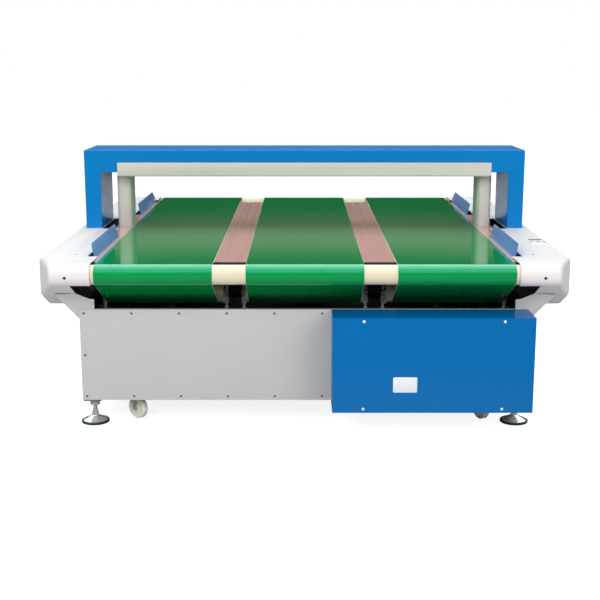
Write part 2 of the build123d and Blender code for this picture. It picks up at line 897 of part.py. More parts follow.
def carriage(centre):
    """Cheeks that hold the roller's shaft, each with a lug on its rod between two nuts."""
    lug_bottom = lug_top - lug_height
    start = tension_roller_half + side_gap + side_gap
    cheek = block(
        (start, start + cheek_thickness),
        (lower_front_y - cheek_front, rod_y + lug_width / 2),
        (lug_bottom, rod_top - tension_travel - bracket_cap - bracket_gap),
    )
    lug = block(
        (start, carriage_half + lug_width / 2),
        (rod_y - lug_width / 2, rod_y + lug_width / 2),
        (lug_bottom, lug_top),
    )
    hole = Cylinder(rod_radius + rod_hole_gap, tube + tube)
    end = carriage_half + lug_width
    bore = rod_along_x(tension_shaft_radius + shaft_fit, (0, end), lower_front_y, lower_z)
    nut = extrude(hexagon(nut_across), nut_height) - hole
    pieces = [
        cheek + lug - bore - Pos(carriage_half, rod_y, lug_top) * hole,
        Pos(carriage_half, rod_y, lug_top) * nut,
        Pos(carriage_half, rod_y, lug_bottom - nut_height) * nut,
    ]
    shapes = []
    for piece in pieces:
        shapes.extend(both_sides(piece))
    return [Pos(centre, 0, 0) * shape for shape in shapes]


def tension_bracket(x, width, cap):
    """A dark plate that hangs from the bracket rail, with a cap over the rods' upper ends."""
    y = bracket_rail_y() - rail_width / 2
    z = (lower_z - bracket_below_axis, bed_bottom - tube_wall)
    plate = block((x - width / 2, x + width / 2), (y - bracket_thickness, y), z)
    return plate + block(cap, (rod_y - lug_width / 2, y), (rod_top, rod_top + bracket_cap))


def tension_brackets():
    """One bracket for the two rods of each gap, and one for each outer rod."""
    centres = carriage_centres()
    rods = (centres[1] + carriage_half, centres[2] - carriage_half)
    cap = (rods[0] - lug_width / 2, rods[1] + lug_width / 2)
    shapes = both_sides(tension_bracket((rods[0] + rods[1]) / 2, bracket_width, cap))
    rod = centres[2] + carriage_half
    half = outer_bracket_width / 2
    return shapes + both_sides(tension_bracket(rod, outer_bracket_width, (rod - half, rod + half)))


# Drive

def pitch_radius(teeth):
    return teeth * chain_pitch / (math.pi + math.pi)


def chain_length(distance):
    big, small = pitch_radius(drum_teeth), pitch_radius(motor_teeth)
    lean = math.asin((big - small) / distance)
    straight = 2 * math.sqrt(distance ** 2 - (big - small) ** 2)
    return straight + big * (math.pi + 2 * lean) + small * (math.pi - 2 * lean)


def shaft_distance():
    """Distance between the shafts at which the chain closes with whole links."""
    low, high = pitch_radius(drum_teeth) * 2, chain_pitch * chain_links
    for _ in range(chain_solve_steps):
        middle = (low + high) / 2
        if chain_length(middle) < chain_pitch * chain_links:
            low = middle
        else:
            high = middle
    return (low + high) / 2


def motor_place():
    distance = shaft_distance()
    slope = math.radians(motor_slope)
    return (rear_y - distance * math.cos(slope), roller_z - distance * math.sin(slope))


def chain_point(along):
    """A point of the chain's pitch line, with the drum at 0 and the motor on +X."""
    big, small = pitch_radius(drum_teeth), pitch_radius(motor_teeth)
    distance = shaft_distance()
    lean = math.asin((big - small) / distance)
    straight = math.sqrt(distance ** 2 - (big - small) ** 2)
    drum_arc = big * (math.pi + 2 * lean)
    motor_arc = small * (math.pi - 2 * lean)
    top = math.pi / 2 - lean
    if along < drum_arc:
        angle = top + along / big
        return (big * math.cos(angle), big * math.sin(angle))
    along -= drum_arc
    if along < straight:
        share = along / straight
        start = (big * math.cos(-top), big * math.sin(-top))
        end = (distance + small * math.cos(-top), small * math.sin(-top))
        return (start[0] + share * (end[0] - start[0]), start[1] + share * (end[1] - start[1]))
    along -= straight
    if along < motor_arc:
        angle = -top + along / small
        return (distance + small * math.cos(angle), small * math.sin(angle))
    along -= motor_arc
    share = along / straight
    start = (distance + small * math.cos(top), small * math.sin(top))
    end = (big * math.cos(top), big * math.sin(top))
    return (start[0] + share * (end[0] - start[0]), start[1] + share * (end[1] - start[1]))


def chain_to_machine(shape, x):
    """Lay a drawing with the motor on +X into the drive plane, motor to the front."""
    turned = Rot(0, 0, 180 + motor_slope) * shape
    return side_extrusion(Pos(rear_y, roller_z) * turned, x)


def chain_band(grow):
    big, small = pitch_radius(drum_teeth), pitch_radius(motor_teeth)
    distance = shaft_distance()
    lean = math.asin((big - small) / distance)
    top = math.pi / 2 - lean
    big += grow
    small += grow
    body = polygon([
        (big * math.cos(top), big * math.sin(top)),
        (distance + small * math.cos(top), small * math.sin(top)),
        (distance + small * math.cos(top), -small * math.sin(top)),
        (big * math.cos(top), -big * math.sin(top)),
    ])
    return body + Circle(big) + Pos(distance, 0) * Circle(small)


def drive_chain():
    """Rollers between two rows of link plates."""
    ring = chain_band(chain_plate_half) - chain_band(-chain_plate_half)
    outer = chain_inner_half + chain_plate_thickness
    near = chain_to_machine(ring, (chain_plane - outer, chain_plane - chain_inner_half))
    far = chain_to_machine(ring, (chain_plane + chain_inner_half, chain_plane + outer))
    rollers = Sketch()
    for i in range(chain_links):
        rollers += Pos(*chain_point(i * chain_pitch)) * Circle(chain_roller_radius)
    inside = (chain_plane - chain_inner_half, chain_plane + chain_inner_half)
    return chain_to_machine(rollers, inside), near, far


def sprocket(teeth, centre, first_angle):
    """A toothed disc whose tooth spaces seat the chain's rollers."""
    radius = pitch_radius(teeth)
    disc = Circle(radius + tooth_height)
    for i in range(teeth):
        angle = first_angle + i * 2 * math.pi / teeth
        place = Pos(radius * math.cos(angle), radius * math.sin(angle))
        disc -= place * Circle(chain_roller_radius + side_gap)
        mouth = radius + tooth_mouth_shift
        disc -= Pos(mouth * math.cos(angle), mouth * math.sin(angle)) * Circle(tooth_mouth_radius)
    half = sprocket_thickness / 2
    return chain_to_machine(Pos(centre, 0) * disc, (chain_plane - half, chain_plane + half))


def drum_sprocket():
    lean = math.asin((pitch_radius(drum_teeth) - pitch_radius(motor_teeth)) / shaft_distance())
    disc = sprocket(drum_teeth, 0, math.pi / 2 - lean)
    hub = rod_along_x(drum_hub_radius, (chain_plane, chain_plane + sprocket_hub_length), rear_y, roller_z)
    bore = rod_along_x(shaft_radius, (chain_plane - tube, chain_plane + tube), rear_y, roller_z)
    return disc + hub - bore


def motor_first_angle():
    """Angle of the first chain roller that lies on the motor's sprocket."""
    big, small = pitch_radius(drum_teeth), pitch_radius(motor_teeth)
    distance = shaft_distance()
    lean = math.asin((big - small) / distance)
    before = big * (math.pi + 2 * lean) + math.sqrt(distance ** 2 - (big - small) ** 2)
    count = math.ceil(before / chain_pitch)
    return -(math.pi / 2 - lean) + (count * chain_pitch - before) / small


def motor_sprocket():
    """The motor's sprocket with the output shaft that it turns on."""
    y, z = motor_place()
    disc = sprocket(motor_teeth, shaft_distance(), motor_first_angle())
    hub = rod_along_x(motor_hub_radius, (chain_plane, chain_plane + sprocket_hub_length), y, z)
    shaft_x = (chain_plane - sprocket_thickness, chain_plane + motor_shaft_length)
    return disc + hub + rod_along_x(motor_shaft_radius, shaft_x, y, z)


def gear_motor():
    """A flat gearbox and a ribbed motor on a plate held by the side plate."""
    y, z = motor_place()
    start = chain_plane + sprocket_hub_length + side_gap + side_gap
    box_end = start + gearbox_length
    shape = rod_along_x(gearbox_radius, (start, box_end), y, z)
    motor = Circle(motor_radius)
    for i in range(motor_rib_count):
        rib = Pos(motor_radius, 0) * Rectangle(motor_rib_height + motor_rib_height, motor_rib_width)
        motor += Rot(0, 0, 360 / motor_rib_count * i) * rib
    shape += side_extrusion(Pos(y, z) * motor, (box_end, box_end + motor_length))
    bore = rod_along_x(motor_shaft_radius + shaft_fit, (start - overrun, chain_plane + tube), y, z)
    plate_back = plate_inner + plate_thickness
    foot_y = y - gearbox_radius - motor_plate_thickness
    arm = block(
        (plate_back, start + motor_plate_thickness),
        (foot_y - motor_plate_thickness, foot_y),
        (z - gearbox_radius / 2, roller_z + plate_radius / 2),
    )
    face = block(
        (start, start + motor_plate_thickness),
        (foot_y - motor_plate_thickness, y),
        (z - gearbox_radius / 2, z + gearbox_radius / 2),
    )
    return shape + arm + face - bore


# Casters

def caster_axle_z():
    return caster_ground_gap + caster_wheel_radius


def caster_plate_top():
    return frame_bottom + caster_rail_lift


def caster_place(name):
    x = caster_x if "right" in name else -caster_x
    y = cabinet_front + caster_run if "front" in name else cabinet_rear - caster_run
    return x, y


def caster_plate():
    """Fixed plate with the upper race, at the swivel axis."""
    top = caster_plate_top()
    plate = block(
        (-caster_plate_width / 2, caster_plate_width / 2),
        (-caster_plate_length / 2, caster_plate_length / 2),
        (top - caster_plate_thickness, top),
    )
    plate = fillet(plate.edges().filter_by(Axis.Z), caster_plate_thickness)
    race = Cylinder(caster_race_radius, caster_race_height, align=(Align.CENTER, Align.CENTER, Align.MAX))
    shape = plate + Pos(0, 0, top - caster_plate_thickness) * race
    bore = Cylinder(caster_king_radius + caster_bore_gap, tube * 2)
    return shape - Pos(0, 0, top) * bore


def caster_fork(turn):
    """Bent sheet fork with its king pin and the wheel's axle, turned about the pin."""
    crown = caster_plate_top() - caster_plate_thickness - caster_race_height - side_gap
    axle_z = caster_axle_z()
    half = caster_wheel_width / 2 + caster_fork_gap + caster_fork_sheet
    deck_radius = caster_race_radius
    deck = extrude(Pos(0, 0, crown - caster_fork_sheet) * Circle(deck_radius), amount=caster_fork_sheet)
    king_top = caster_plate_top() - side_gap
    king = Cylinder(caster_king_radius, king_top - crown + caster_fork_sheet,
                    align=(Align.CENTER, Align.CENTER, Align.MIN))
    king = Pos(0, 0, crown - caster_fork_sheet) * king
    cheek = polygon([
        (-caster_fork_half, crown),
        (caster_fork_half, crown),
        (caster_trail + caster_eye_radius, axle_z),
        (caster_trail - caster_eye_radius, axle_z),
    ])
    cheek += Pos(caster_trail, axle_z) * Circle(caster_eye_radius)
    shape = deck + king
    for side in sides:
        y = sorted([side * half, side * (half - caster_fork_sheet)])
        shape += front_extrusion(cheek, y)
    shape += block((-caster_fork_half, caster_fork_half), (-half, half), (crown - caster_fork_sheet, crown))
    axle = front_extrusion(Pos(caster_trail, axle_z) * Circle(caster_axle_radius), (-half, half))
    shape += axle
    for side in sides:
        y = sorted([side * half, side * (half + caster_nut_height)])
        nut = Pos(caster_trail, axle_z) * hexagon(caster_nut_across)
        shape += front_extrusion(nut, y)
    return Rot(0, 0, turn) * shape


def caster_wheel(turn):
    """Cream wheel with a rounded tread and dished sides."""
    half = caster_wheel_width / 2
    r = caster_wheel_radius
    tread = caster_tread_round
    web = r - caster_web_inset
    hub = caster_hub_radius
    profile = polygon([
        (caster_axle_radius + caster_bore_gap, -half),
        (hub, -half),
        (hub + tread, -half + tread),
        (web, -half + tread),
        (r - tread, -half),
        (r, -half + tread),
        (r, half - tread),
        (r - tread, half),
        (web, half - tread),
        (hub + tread, half - tread),
        (hub, half),
        (caster_axle_radius + caster_bore_gap, half),
    ])
    wheel = revolve(Plane.XY * profile, axis=Axis.Y)
    return Rot(0, 0, turn) * (Pos(caster_trail, 0, caster_axle_z()) * wheel)


# Levelling feet

def foot():
    """A cone pad on a threaded stem, and the rubber rim that it stands on."""
    base = foot_rim_band
    pad = polygon([
        (0, base),
        (foot_pad_radius - foot_rim_band, base),
        (foot_pad_radius - foot_rim_band, foot_rim_height),
        (foot_hub_radius, foot_cone_top),
        (foot_hub_radius, foot_hub_top),
        (foot_neck_radius, foot_neck_top),
        (foot_stem_radius, foot_neck_top),
        (foot_stem_radius, foot_stem_top),
        (0, foot_stem_top),
    ])
    rim = polygon([
        (0, 0),
        (foot_pad_radius - foot_rim_chamfer, 0),
        (foot_pad_radius, foot_rim_chamfer),
        (foot_pad_radius, foot_rim_height),
        (foot_pad_radius - foot_rim_band, foot_rim_height),
        (foot_pad_radius - foot_rim_band, base),
        (0, base),
    ])
    return [revolve(Plane.XZ * pad, axis=Axis.Z), revolve(Plane.XZ * rim, axis=Axis.Z)]


def foot_nut():
    top = frame_bottom - foot_plate_thickness
    nut = extrude(hexagon(foot_nut_across), amount=foot_nut_height)
    collar = extrude(Circle(foot_nut_across / 2 - foot_nut_gap), amount=-foot_nut_gap)
    lower = Pos(0, 0, -foot_nut_gap - foot_nut_height) * nut
    hole = Cylinder(foot_stem_radius + foot_hole_gap, foot_stem_top)
    return Pos(0, 0, top - foot_nut_height) * (nut + collar + lower - hole)


# Control panel

def console_middle():
    return console_x, front_y + console_run


def key_places():
    x, y = console_middle()
    return [(x + i * key_spacing, y + key_shift) for i in [-1, 0, 1]]


def control_panel():
    x, y = console_middle()
    plate = extrude(Pos(x, y, cover_top) * RectangleRounded(console_width, console_length, console_round),
                    amount=console_height)
    plate = chamfer(plate.faces().sort_by(Axis.Z)[-1].edges(), console_chamfer)
    window = block(
        (x - display_width / 2, x + display_width / 2),
        (y + display_shift - display_length / 2, y + display_shift + display_length / 2),
        (cover_top + console_height - display_thickness, cover_top + console_height + overrun),
    )
    plate = plate - window
    for kx, ky in key_places():
        well = Pos(kx, ky, cover_top + key_well_floor) * Cylinder(
            key_radius + key_gap, console_height + overrun, align=(Align.CENTER, Align.CENTER, Align.MIN))
        plate = plate - well
    return plate


def display():
    x, y = console_middle()
    return block(
        (x - display_width / 2, x + display_width / 2),
        (y + display_shift - display_length / 2, y + display_shift + display_length / 2),
        (cover_top + console_height - display_thickness, cover_top + console_height),
    )


def key(place):
    low = cover_top + key_well_floor + key_travel + key_gap
    high = cover_top + console_height + key_height
    cap = Pos(place[0], place[1], low) * Cylinder(
        key_radius, high - low, align=(Align.CENTER, Align.CENTER, Align.MIN))
    return fillet(cap.faces().sort_by(Axis.Z)[-1].edges(), key_round)


# Small pieces

def cover_screws():
    """Black screws on the noses and along the top of each cover."""
    x = cover_floor_edge + cover_screw_inset
    head = Cylinder(box_screw_radius, screw_head_height, align=(Align.CENTER, Align.CENTER, Align.MIN))
    dip = math.degrees(math.asin(cover_screw_drop / cover_nose_radius))
    nose = Pos(x, front_y, roller_z) * Rot(90 + dip, 0, 0) * Pos(0, 0, cover_nose_radius) * head
    heads = four_corners(nose)
    for run in cover_screw_runs:
        top = Pos(x, front_y + run, cover_top) * Cylinder(
            screw_head_radius, screw_head_height / 2, align=(Align.CENTER, Align.CENTER, Align.MIN))
        heads += four_corners(top)
    return heads


def gland_hole():
    """The hole through the rear panel for the gland's shank."""
    z = cabinet_bottom + gland_rise
    span = (cabinet_rear - panel_sheet - overrun, cabinet_rear + overrun)
    return front_extrusion(Pos(gland_x, z) * Circle(gland_shank_radius + gland_hole_gap), span)


def cable_gland():
    """Hexagon and dome outside the panel, shank and nut inside, one bore through all."""
    z = cabinet_bottom + gland_rise
    y = cabinet_rear
    hex_part = front_extrusion(Pos(gland_x, z) * hexagon(gland_hex), (y, y + gland_hex_length))
    dome = front_extrusion(Pos(gland_x, z) * Circle(gland_radius), (y, y + gland_length))
    dome = fillet(dome.faces().sort_by(Axis.Y)[-1].edges(), gland_round)
    shank = front_extrusion(Pos(gland_x, z) * Circle(gland_shank_radius), (y - gland_shank_length, y))
    nut_y = y - panel_sheet
    nut = front_extrusion(Pos(gland_x, z) * hexagon(gland_hex), (nut_y - gland_nut_length, nut_y))
    span = (y - gland_shank_length - overrun, y + gland_length + overrun)
    return hex_part + dome + shank + nut - front_extrusion(Pos(gland_x, z) * Circle(gland_bore), span)


def build():
    os.makedirs("parts", exist_ok=True)
    for name, centre in zip(belt_side_names, belt_centres):
        write(name + "_belt", belt(centre))
    shaft_end = plate_inner + plate_thickness + bearing_width + side_gap
    write("front_roller", roller(end_roller_half, shaft_radius, (-shaft_end, shaft_end), front_y, roller_z))
    drum_end = chain_plane + sprocket_hub_length
    write("drive_drum", roller(end_roller_half, shaft_radius, (-shaft_end, drum_end), rear_y, roller_z))
    write("rear_guide_roller",
          roller(end_roller_half, shaft_radius, (-shaft_end, shaft_end), lower_rear_y, lower_z))
    tension_end = carriage_half + lug_width / 2
    for name, centre in zip(belt_side_names, carriage_centres()):
        turned = roller(tension_roller_half, tension_shaft_radius, (-tension_end, tension_end), lower_front_y,
                        lower_z)
        write(name + "_tension_roller", Pos(centre, 0, 0) * turned)
        write(name + "_tension_carriage", *carriage(centre))
    write("tension_rods", *tension_rods())
    write("rod_foot_rail", rod_foot_rail())
    write("tension_brackets", *tension_brackets())
    write("roller_bearings", *bearings())
    write("side_plates", *both_sides(side_plate()))
    write("bed_board", bed_board())
    write("bed_rails", *bed_rails())
    write("portal_cover", portal_cover())
    write("upper_probe", probe_head())
    write("probe_legs", *both_sides(probe_leg()))
    write("lower_probe", lower_probe())
    write("belt_guards", *four_corners(guard()))
    write("right_cover", cover())
    write("left_cover", other_side(cover()))
    write("cover_screws", *cover_screws())
    write("base_frame", *base_frame())
    write("front_panel", end_panel())
    write("rear_panel", other_end(end_panel()) - gland_hole())
    write("right_side_panel", side_panel())
    write("left_side_panel", other_side(side_panel()))
    write("panel_screws", *panel_screws())
    write("control_box", control_box())
    write("control_box_screws", *control_box_screws())
    write("inverter", inverter())
    write("cable_gland", cable_gland())
    write("drive_chain", *drive_chain())
    write("drum_sprocket", drum_sprocket())
    write("motor_sprocket", motor_sprocket())
    write("gear_motor", gear_motor())
    plates = []
    for name, turn in caster_turns.items():
        place = Pos(*caster_place(name), 0)
        plates.append(place * caster_plate())
        write(name + "_caster_fork", place * caster_fork(turn))
        write(name + "_caster_wheel", place * caster_wheel(turn))
    write("caster_plates", *plates)
    nuts = []
    for name in caster_turns:
        x = foot_x if "right" in name else -foot_x
        y = cabinet_front + foot_run if "front" in name else cabinet_rear - foot_run
        write(name + "_foot", *[Pos(x, y, 0) * piece for piece in foot()])
        nuts.append(Pos(x, y, 0) * foot_nut())
    write("foot_lock_nuts", *nuts)
    write("control_panel", control_panel())
    write("display", display())
    for name, place in zip(["start_key", "stop_key", "reset_key"], key_places()):
        write(name, key(place))


build()
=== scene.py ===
import bmesh
import bpy
import json
import math
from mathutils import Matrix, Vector

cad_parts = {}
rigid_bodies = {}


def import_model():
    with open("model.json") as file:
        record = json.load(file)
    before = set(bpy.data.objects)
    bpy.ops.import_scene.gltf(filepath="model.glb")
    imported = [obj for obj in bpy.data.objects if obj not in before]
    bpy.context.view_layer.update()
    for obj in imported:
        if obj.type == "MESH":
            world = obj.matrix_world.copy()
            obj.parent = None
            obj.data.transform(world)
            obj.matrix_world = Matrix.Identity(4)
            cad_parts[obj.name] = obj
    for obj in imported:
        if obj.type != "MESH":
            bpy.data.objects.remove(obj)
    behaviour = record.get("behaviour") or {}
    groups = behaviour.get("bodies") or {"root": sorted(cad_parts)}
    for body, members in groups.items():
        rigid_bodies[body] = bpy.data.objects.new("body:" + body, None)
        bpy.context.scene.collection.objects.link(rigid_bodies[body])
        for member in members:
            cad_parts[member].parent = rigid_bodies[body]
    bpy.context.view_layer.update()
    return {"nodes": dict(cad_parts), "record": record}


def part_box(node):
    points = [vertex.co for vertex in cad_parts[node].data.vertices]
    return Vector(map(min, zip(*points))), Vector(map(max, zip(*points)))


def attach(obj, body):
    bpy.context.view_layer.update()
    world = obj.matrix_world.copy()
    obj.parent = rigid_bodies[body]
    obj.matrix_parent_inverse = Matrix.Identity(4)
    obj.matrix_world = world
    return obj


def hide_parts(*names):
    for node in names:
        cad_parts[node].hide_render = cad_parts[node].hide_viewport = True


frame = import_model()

# Conveyor metal detector: three green belts side by side through one blue search portal.
# Metres, X across the belts, Y along their travel, Z up, origin on the floor.

mm = 0.001
near = 0.02 * mm          # two places closer than this count as one
flatDegrees = 1           # faces that turn less than this are taken as one
lanes = ("left", "centre", "right")
noiseLow, noiseHigh = 0.3, 0.7      # nearly all values of a noise lie between these


# Getting in and out of edit mode

def clearSelection():
    if bpy.context.object and bpy.context.object.mode != "OBJECT":
        bpy.ops.object.mode_set(mode="OBJECT")
    bpy.ops.object.select_all(action="DESELECT")


def makeActive(piece):
    clearSelection()
    piece.select_set(True)
    bpy.context.view_layer.objects.active = piece


def openEdit(piece):
    makeActive(piece)
    bpy.ops.object.mode_set(mode="EDIT")
    bpy.ops.mesh.select_mode(type="FACE")
    bpy.ops.mesh.select_all(action="SELECT")


def closeEdit():
    bpy.ops.object.mode_set(mode="OBJECT")


def pickEdges(piece, wanted):      # wanted(one end, other end) says which
    bpy.ops.mesh.select_mode(type="EDGE")
    bpy.ops.mesh.select_all(action="DESELECT")
    mesh = bmesh.from_edit_mesh(piece.data)
    for edge in mesh.edges:
        if wanted(edge.verts[0].co, edge.verts[1].co):
            edge.select_set(True)
    bmesh.update_edit_mesh(piece.data)


def push(step):                    # extrude what is selected by a step
    bpy.ops.mesh.extrude_region_move(TRANSFORM_OT_translate={"value": Vector(step)})


def tidyNormals():
    bpy.ops.mesh.select_all(action="SELECT")
    bpy.ops.mesh.remove_doubles(threshold=near)
    bpy.ops.mesh.normals_make_consistent(inside=False)


# Ways to start and finish a piece

def drawLine(name, points):        # one vertex, extruded from point to point
    clearSelection()
    bpy.ops.mesh.primitive_plane_add(size=1)
    piece = bpy.context.object
    piece.name = name
    bpy.ops.object.mode_set(mode="EDIT")
    bpy.ops.mesh.select_mode(type="VERT")
    bpy.ops.mesh.merge(type="CENTER")
    points = [Vector(p) for p in points]
    bpy.ops.transform.translate(value=points[0])
    for a, b in zip(points, points[1:]):
        push(b - a)
    return piece


def turned(name, points, centre, axis, steps):     # a profile spun once round an axis
    piece = drawLine(name, points)
    bpy.ops.mesh.select_all(action="SELECT")
    bpy.ops.mesh.spin(steps=steps, angle=math.tau, center=centre, axis=axis)
    tidyNormals()
    closeEdit()
    return piece


def blockFrom(name, low, high):        # a cube set between two corners, to be shaped
    low, high = Vector(low), Vector(high)
    clearSelection()
    bpy.ops.mesh.primitive_cube_add(size=1, location=(low + high) / 2)
    piece = bpy.context.object
    piece.name = name
    piece.scale = high - low
    bpy.ops.object.transform_apply(location=True, rotation=True, scale=True)
    return piece


def applyModifier(piece, kind, **settings):
    makeActive(piece)
    bpy.ops.object.modifier_add(type=kind)
    modifier = piece.modifiers[-1]
    for key, value in settings.items():
        setattr(modifier, key, value)
    bpy.ops.object.modifier_apply(modifier=modifier.name)


def roundEdges(piece, width, segments=3, degrees=30):
    applyModifier(piece, "BEVEL", width=width, segments=segments, limit_method="ANGLE",
                  angle_limit=math.radians(degrees), harden_normals=True)


def smooth(piece, degrees=32):
    makeActive(piece)
    bpy.ops.object.shade_smooth_by_angle(angle=math.radians(degrees))


def bevelPicked(width, segments):
    bpy.ops.mesh.bevel(offset=width, segments=segments, profile=0.5, affect="EDGES")


def joined(pieces, name):
    clearSelection()
    for piece in pieces:
        piece.select_set(True)
    bpy.context.view_layer.objects.active = pieces[0]
    bpy.ops.object.join()
    pieces[0].name = name
    return pieces[0]


def copyOfNode(node, name, width=0.0, segments=2):     # a CAD node's shape, merged and edge-rounded
    source = frame["nodes"][node]
    piece = bpy.data.objects.new(name, source.data.copy())
    bpy.context.scene.collection.objects.link(piece)
    piece.data.materials.clear()
    openEdit(piece)
    bpy.ops.mesh.remove_doubles(threshold=near)
    bpy.ops.mesh.dissolve_limited(angle_limit=math.radians(flatDegrees))
    closeEdit()
    if width:
        roundEdges(piece, width, segments)
    smooth(piece)
    return piece


def settle(piece, material, body, slot, *nodes):
    if material:
        piece.data.materials.clear()
        piece.data.materials.append(material)
    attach(piece, body)
    if nodes:
        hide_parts(*nodes)
    return piece


print("stage 1: helpers ready,", len(frame["nodes"]), "CAD nodes loaded")


# Effects that several finishes share, as node groups

def newGroup(name, inputs, outputs):
    group = bpy.data.node_groups.new(name, "ShaderNodeTree")
    for label, kind, value in inputs:
        socket = group.interface.new_socket(label, in_out="INPUT", socket_type=kind)
        socket.default_value = value
    for label, kind in outputs:
        group.interface.new_socket(label, in_out="OUTPUT", socket_type=kind)
    start = group.nodes.new("NodeGroupInput")
    end = group.nodes.new("NodeGroupOutput")
    return group, start, end


def noiseNode(tree, scale, detail, roughness=0.5):
    node = tree.nodes.new("ShaderNodeTexNoise")
    if isinstance(scale, (int, float)):
        node.inputs["Scale"].default_value = scale
    else:
        tree.links.new(scale, node.inputs["Scale"])
    node.inputs["Detail"].default_value = detail
    node.inputs["Roughness"].default_value = roughness
    return node


def mathNode(tree, operation, first, second):
    node = tree.nodes.new("ShaderNodeMath")
    node.operation = operation
    for socket, value in zip(node.inputs, (first, second)):
        if isinstance(value, (int, float)):
            socket.default_value = value
        else:
            tree.links.new(value, socket)
    return node.outputs[0]


def placeOf(tree):             # object coordinates of a point
    return tree.nodes.new("ShaderNodeTexCoord").outputs["Object"]


def splitAxes(tree, place):    # its X, Y and Z
    node = tree.nodes.new("ShaderNodeSeparateXYZ")
    tree.links.new(place, node.inputs[0])
    return node.outputs


def mixColors(tree, factor, first, second):
    mix = tree.nodes.new("ShaderNodeMix")
    mix.data_type = "RGBA"
    tree.links.new(factor, mix.inputs[0])
    for socket, value in ((mix.inputs[6], first), (mix.inputs[7], second)):
        if isinstance(value, tuple):
            socket.default_value = value
        else:
            tree.links.new(value, socket)
    return mix.outputs[2]


def rangeNode(tree, value, fromLow, fromHigh, toLow, toHigh):
    node = tree.nodes.new("ShaderNodeMapRange")
    tree.links.new(value, node.inputs["Value"])
    labels = ("From Min", "From Max", "To Min", "To Max")
    for label, number in zip(labels, (fromLow, fromHigh, toLow, toHigh)):
        if isinstance(number, (int, float)):
            node.inputs[label].default_value = number
        else:
            tree.links.new(number, node.inputs[label])
    return node.outputs["Result"]


def makeSkin():        # the fine relief of a coat of paint or a moulded face
    group, start, end = newGroup(
        "fineSkin", [("Scale", "NodeSocketFloat", 900.0), ("Depth", "NodeSocketFloat", 1.0)],
        [("Height", "NodeSocketFloat")])
    fine = noiseNode(group, start.outputs["Scale"], detail=3.0)
    group.links.new(placeOf(group), fine.inputs["Vector"])
    height = mathNode(group, "MULTIPLY", fine.outputs["Fac"], start.outputs["Depth"])
    group.links.new(height, end.inputs["Height"])
    return group


def makeDrift():       # slow changes of tone, with a value to drive the gloss
    group, start, end = newGroup(
        "toneDrift",
        [("Color", "NodeSocketColor", (0.5, 0.5, 0.5, 1)), ("Amount", "NodeSocketFloat", 0.06),
         ("Scale", "NodeSocketFloat", 2.2)],
        [("Color", "NodeSocketColor"), ("Value", "NodeSocketFloat")])
    cloud = noiseNode(group, start.outputs["Scale"], detail=4.0, roughness=0.6)
    group.links.new(placeOf(group), cloud.inputs["Vector"])
    low = mathNode(group, "SUBTRACT", 1.0, start.outputs["Amount"])
    high = mathNode(group, "ADD", 1.0, start.outputs["Amount"])
    factor = rangeNode(group, cloud.outputs["Fac"], noiseLow, noiseHigh, low, high)
    scaled = group.nodes.new("ShaderNodeVectorMath")
    scaled.operation = "SCALE"
    group.links.new(start.outputs["Color"], scaled.inputs[0])
    group.links.new(factor, scaled.inputs["Scale"])
    group.links.new(scaled.outputs[0], end.inputs["Color"])
    group.links.new(cloud.outputs["Fac"], end.inputs["Value"])
    return group


def makeStreaks():     # fine lines drawn out along one axis
    group, start, end = newGroup(
        "streaks", [("Across", "NodeSocketFloat", 260.0), ("Along", "NodeSocketFloat", 1.5)],
        [("Value", "NodeSocketFloat")])
    axes = splitAxes(group, placeOf(group))
    lay = group.nodes.new("ShaderNodeCombineXYZ")
    across = mathNode(group, "MULTIPLY", axes["X"], start.outputs["Across"])
    along = mathNode(group, "MULTIPLY", axes["Y"], start.outputs["Along"])
    group.links.new(across, lay.inputs["X"])
    group.links.new(along, lay.inputs["Y"])
    group.links.new(axes["Z"], lay.inputs["Z"])
    lines = noiseNode(group, 1.0, detail=5.0, roughness=0.65)
    group.links.new(lay.outputs[0], lines.inputs["Vector"])
    group.links.new(lines.outputs["Fac"], end.inputs["Value"])
    return group


def makeDust():        # a film that gathers towards the floor
    group, start, end = newGroup(
        "floorDust",
        [("Color", "NodeSocketColor", (0.5, 0.5, 0.5, 1)), ("Dust", "NodeSocketColor", (0.55, 0.52, 0.47, 1)),
         ("Height", "NodeSocketFloat", 0.35), ("Amount", "NodeSocketFloat", 0.12)],
        [("Color", "NodeSocketColor")])
    place = placeOf(group)
    fade = rangeNode(group, splitAxes(group, place)["Z"], 0.0, start.outputs["Height"], 1.0, 0.0)
    cloud = noiseNode(group, 14.0, detail=5.0, roughness=0.6)
    group.links.new(place, cloud.inputs["Vector"])
    mask = mathNode(group, "MULTIPLY", mathNode(group, "MULTIPLY", fade, cloud.outputs["Fac"]),
                    start.outputs["Amount"])
    dusty = mixColors(group, mask, start.outputs["Color"], start.outputs["Dust"])
    group.links.new(dusty, end.inputs["Color"])
    return group


fineSkin, toneDrift, streaks, floorDust = makeSkin(), makeDrift(), makeStreaks(), makeDust()


def useGroup(tree, group, **values):
    node = tree.nodes.new("ShaderNodeGroup")
    node.node_tree = group
    for label, value in values.items():
        node.inputs[label].default_value = value
    return node


def addBump(tree, shader, height, distance, strength):
    bump = tree.nodes.new("ShaderNodeBump")
    bump.inputs["Distance"].default_value = distance
    bump.inputs["Strength"].default_value = strength
    tree.links.new(height, bump.inputs["Height"])
    tree.links.new(bump.outputs[0], shader.inputs["Normal"])


# Finishes. Each starts from one dictionary: colour in linear light, gloss, relief, drift and dust.

def startFinish(name):
    material = bpy.data.materials.new(name)
    material.use_nodes = True
    tree = material.node_tree
    return material, tree, tree.nodes["Principled BSDF"]


def spreadGloss(tree, shader, value, low, high):       # roughness follows a noise between two values
    gloss = rangeNode(tree, value, noiseLow, noiseHigh, low, high)
    tree.links.new(gloss, shader.inputs["Roughness"])


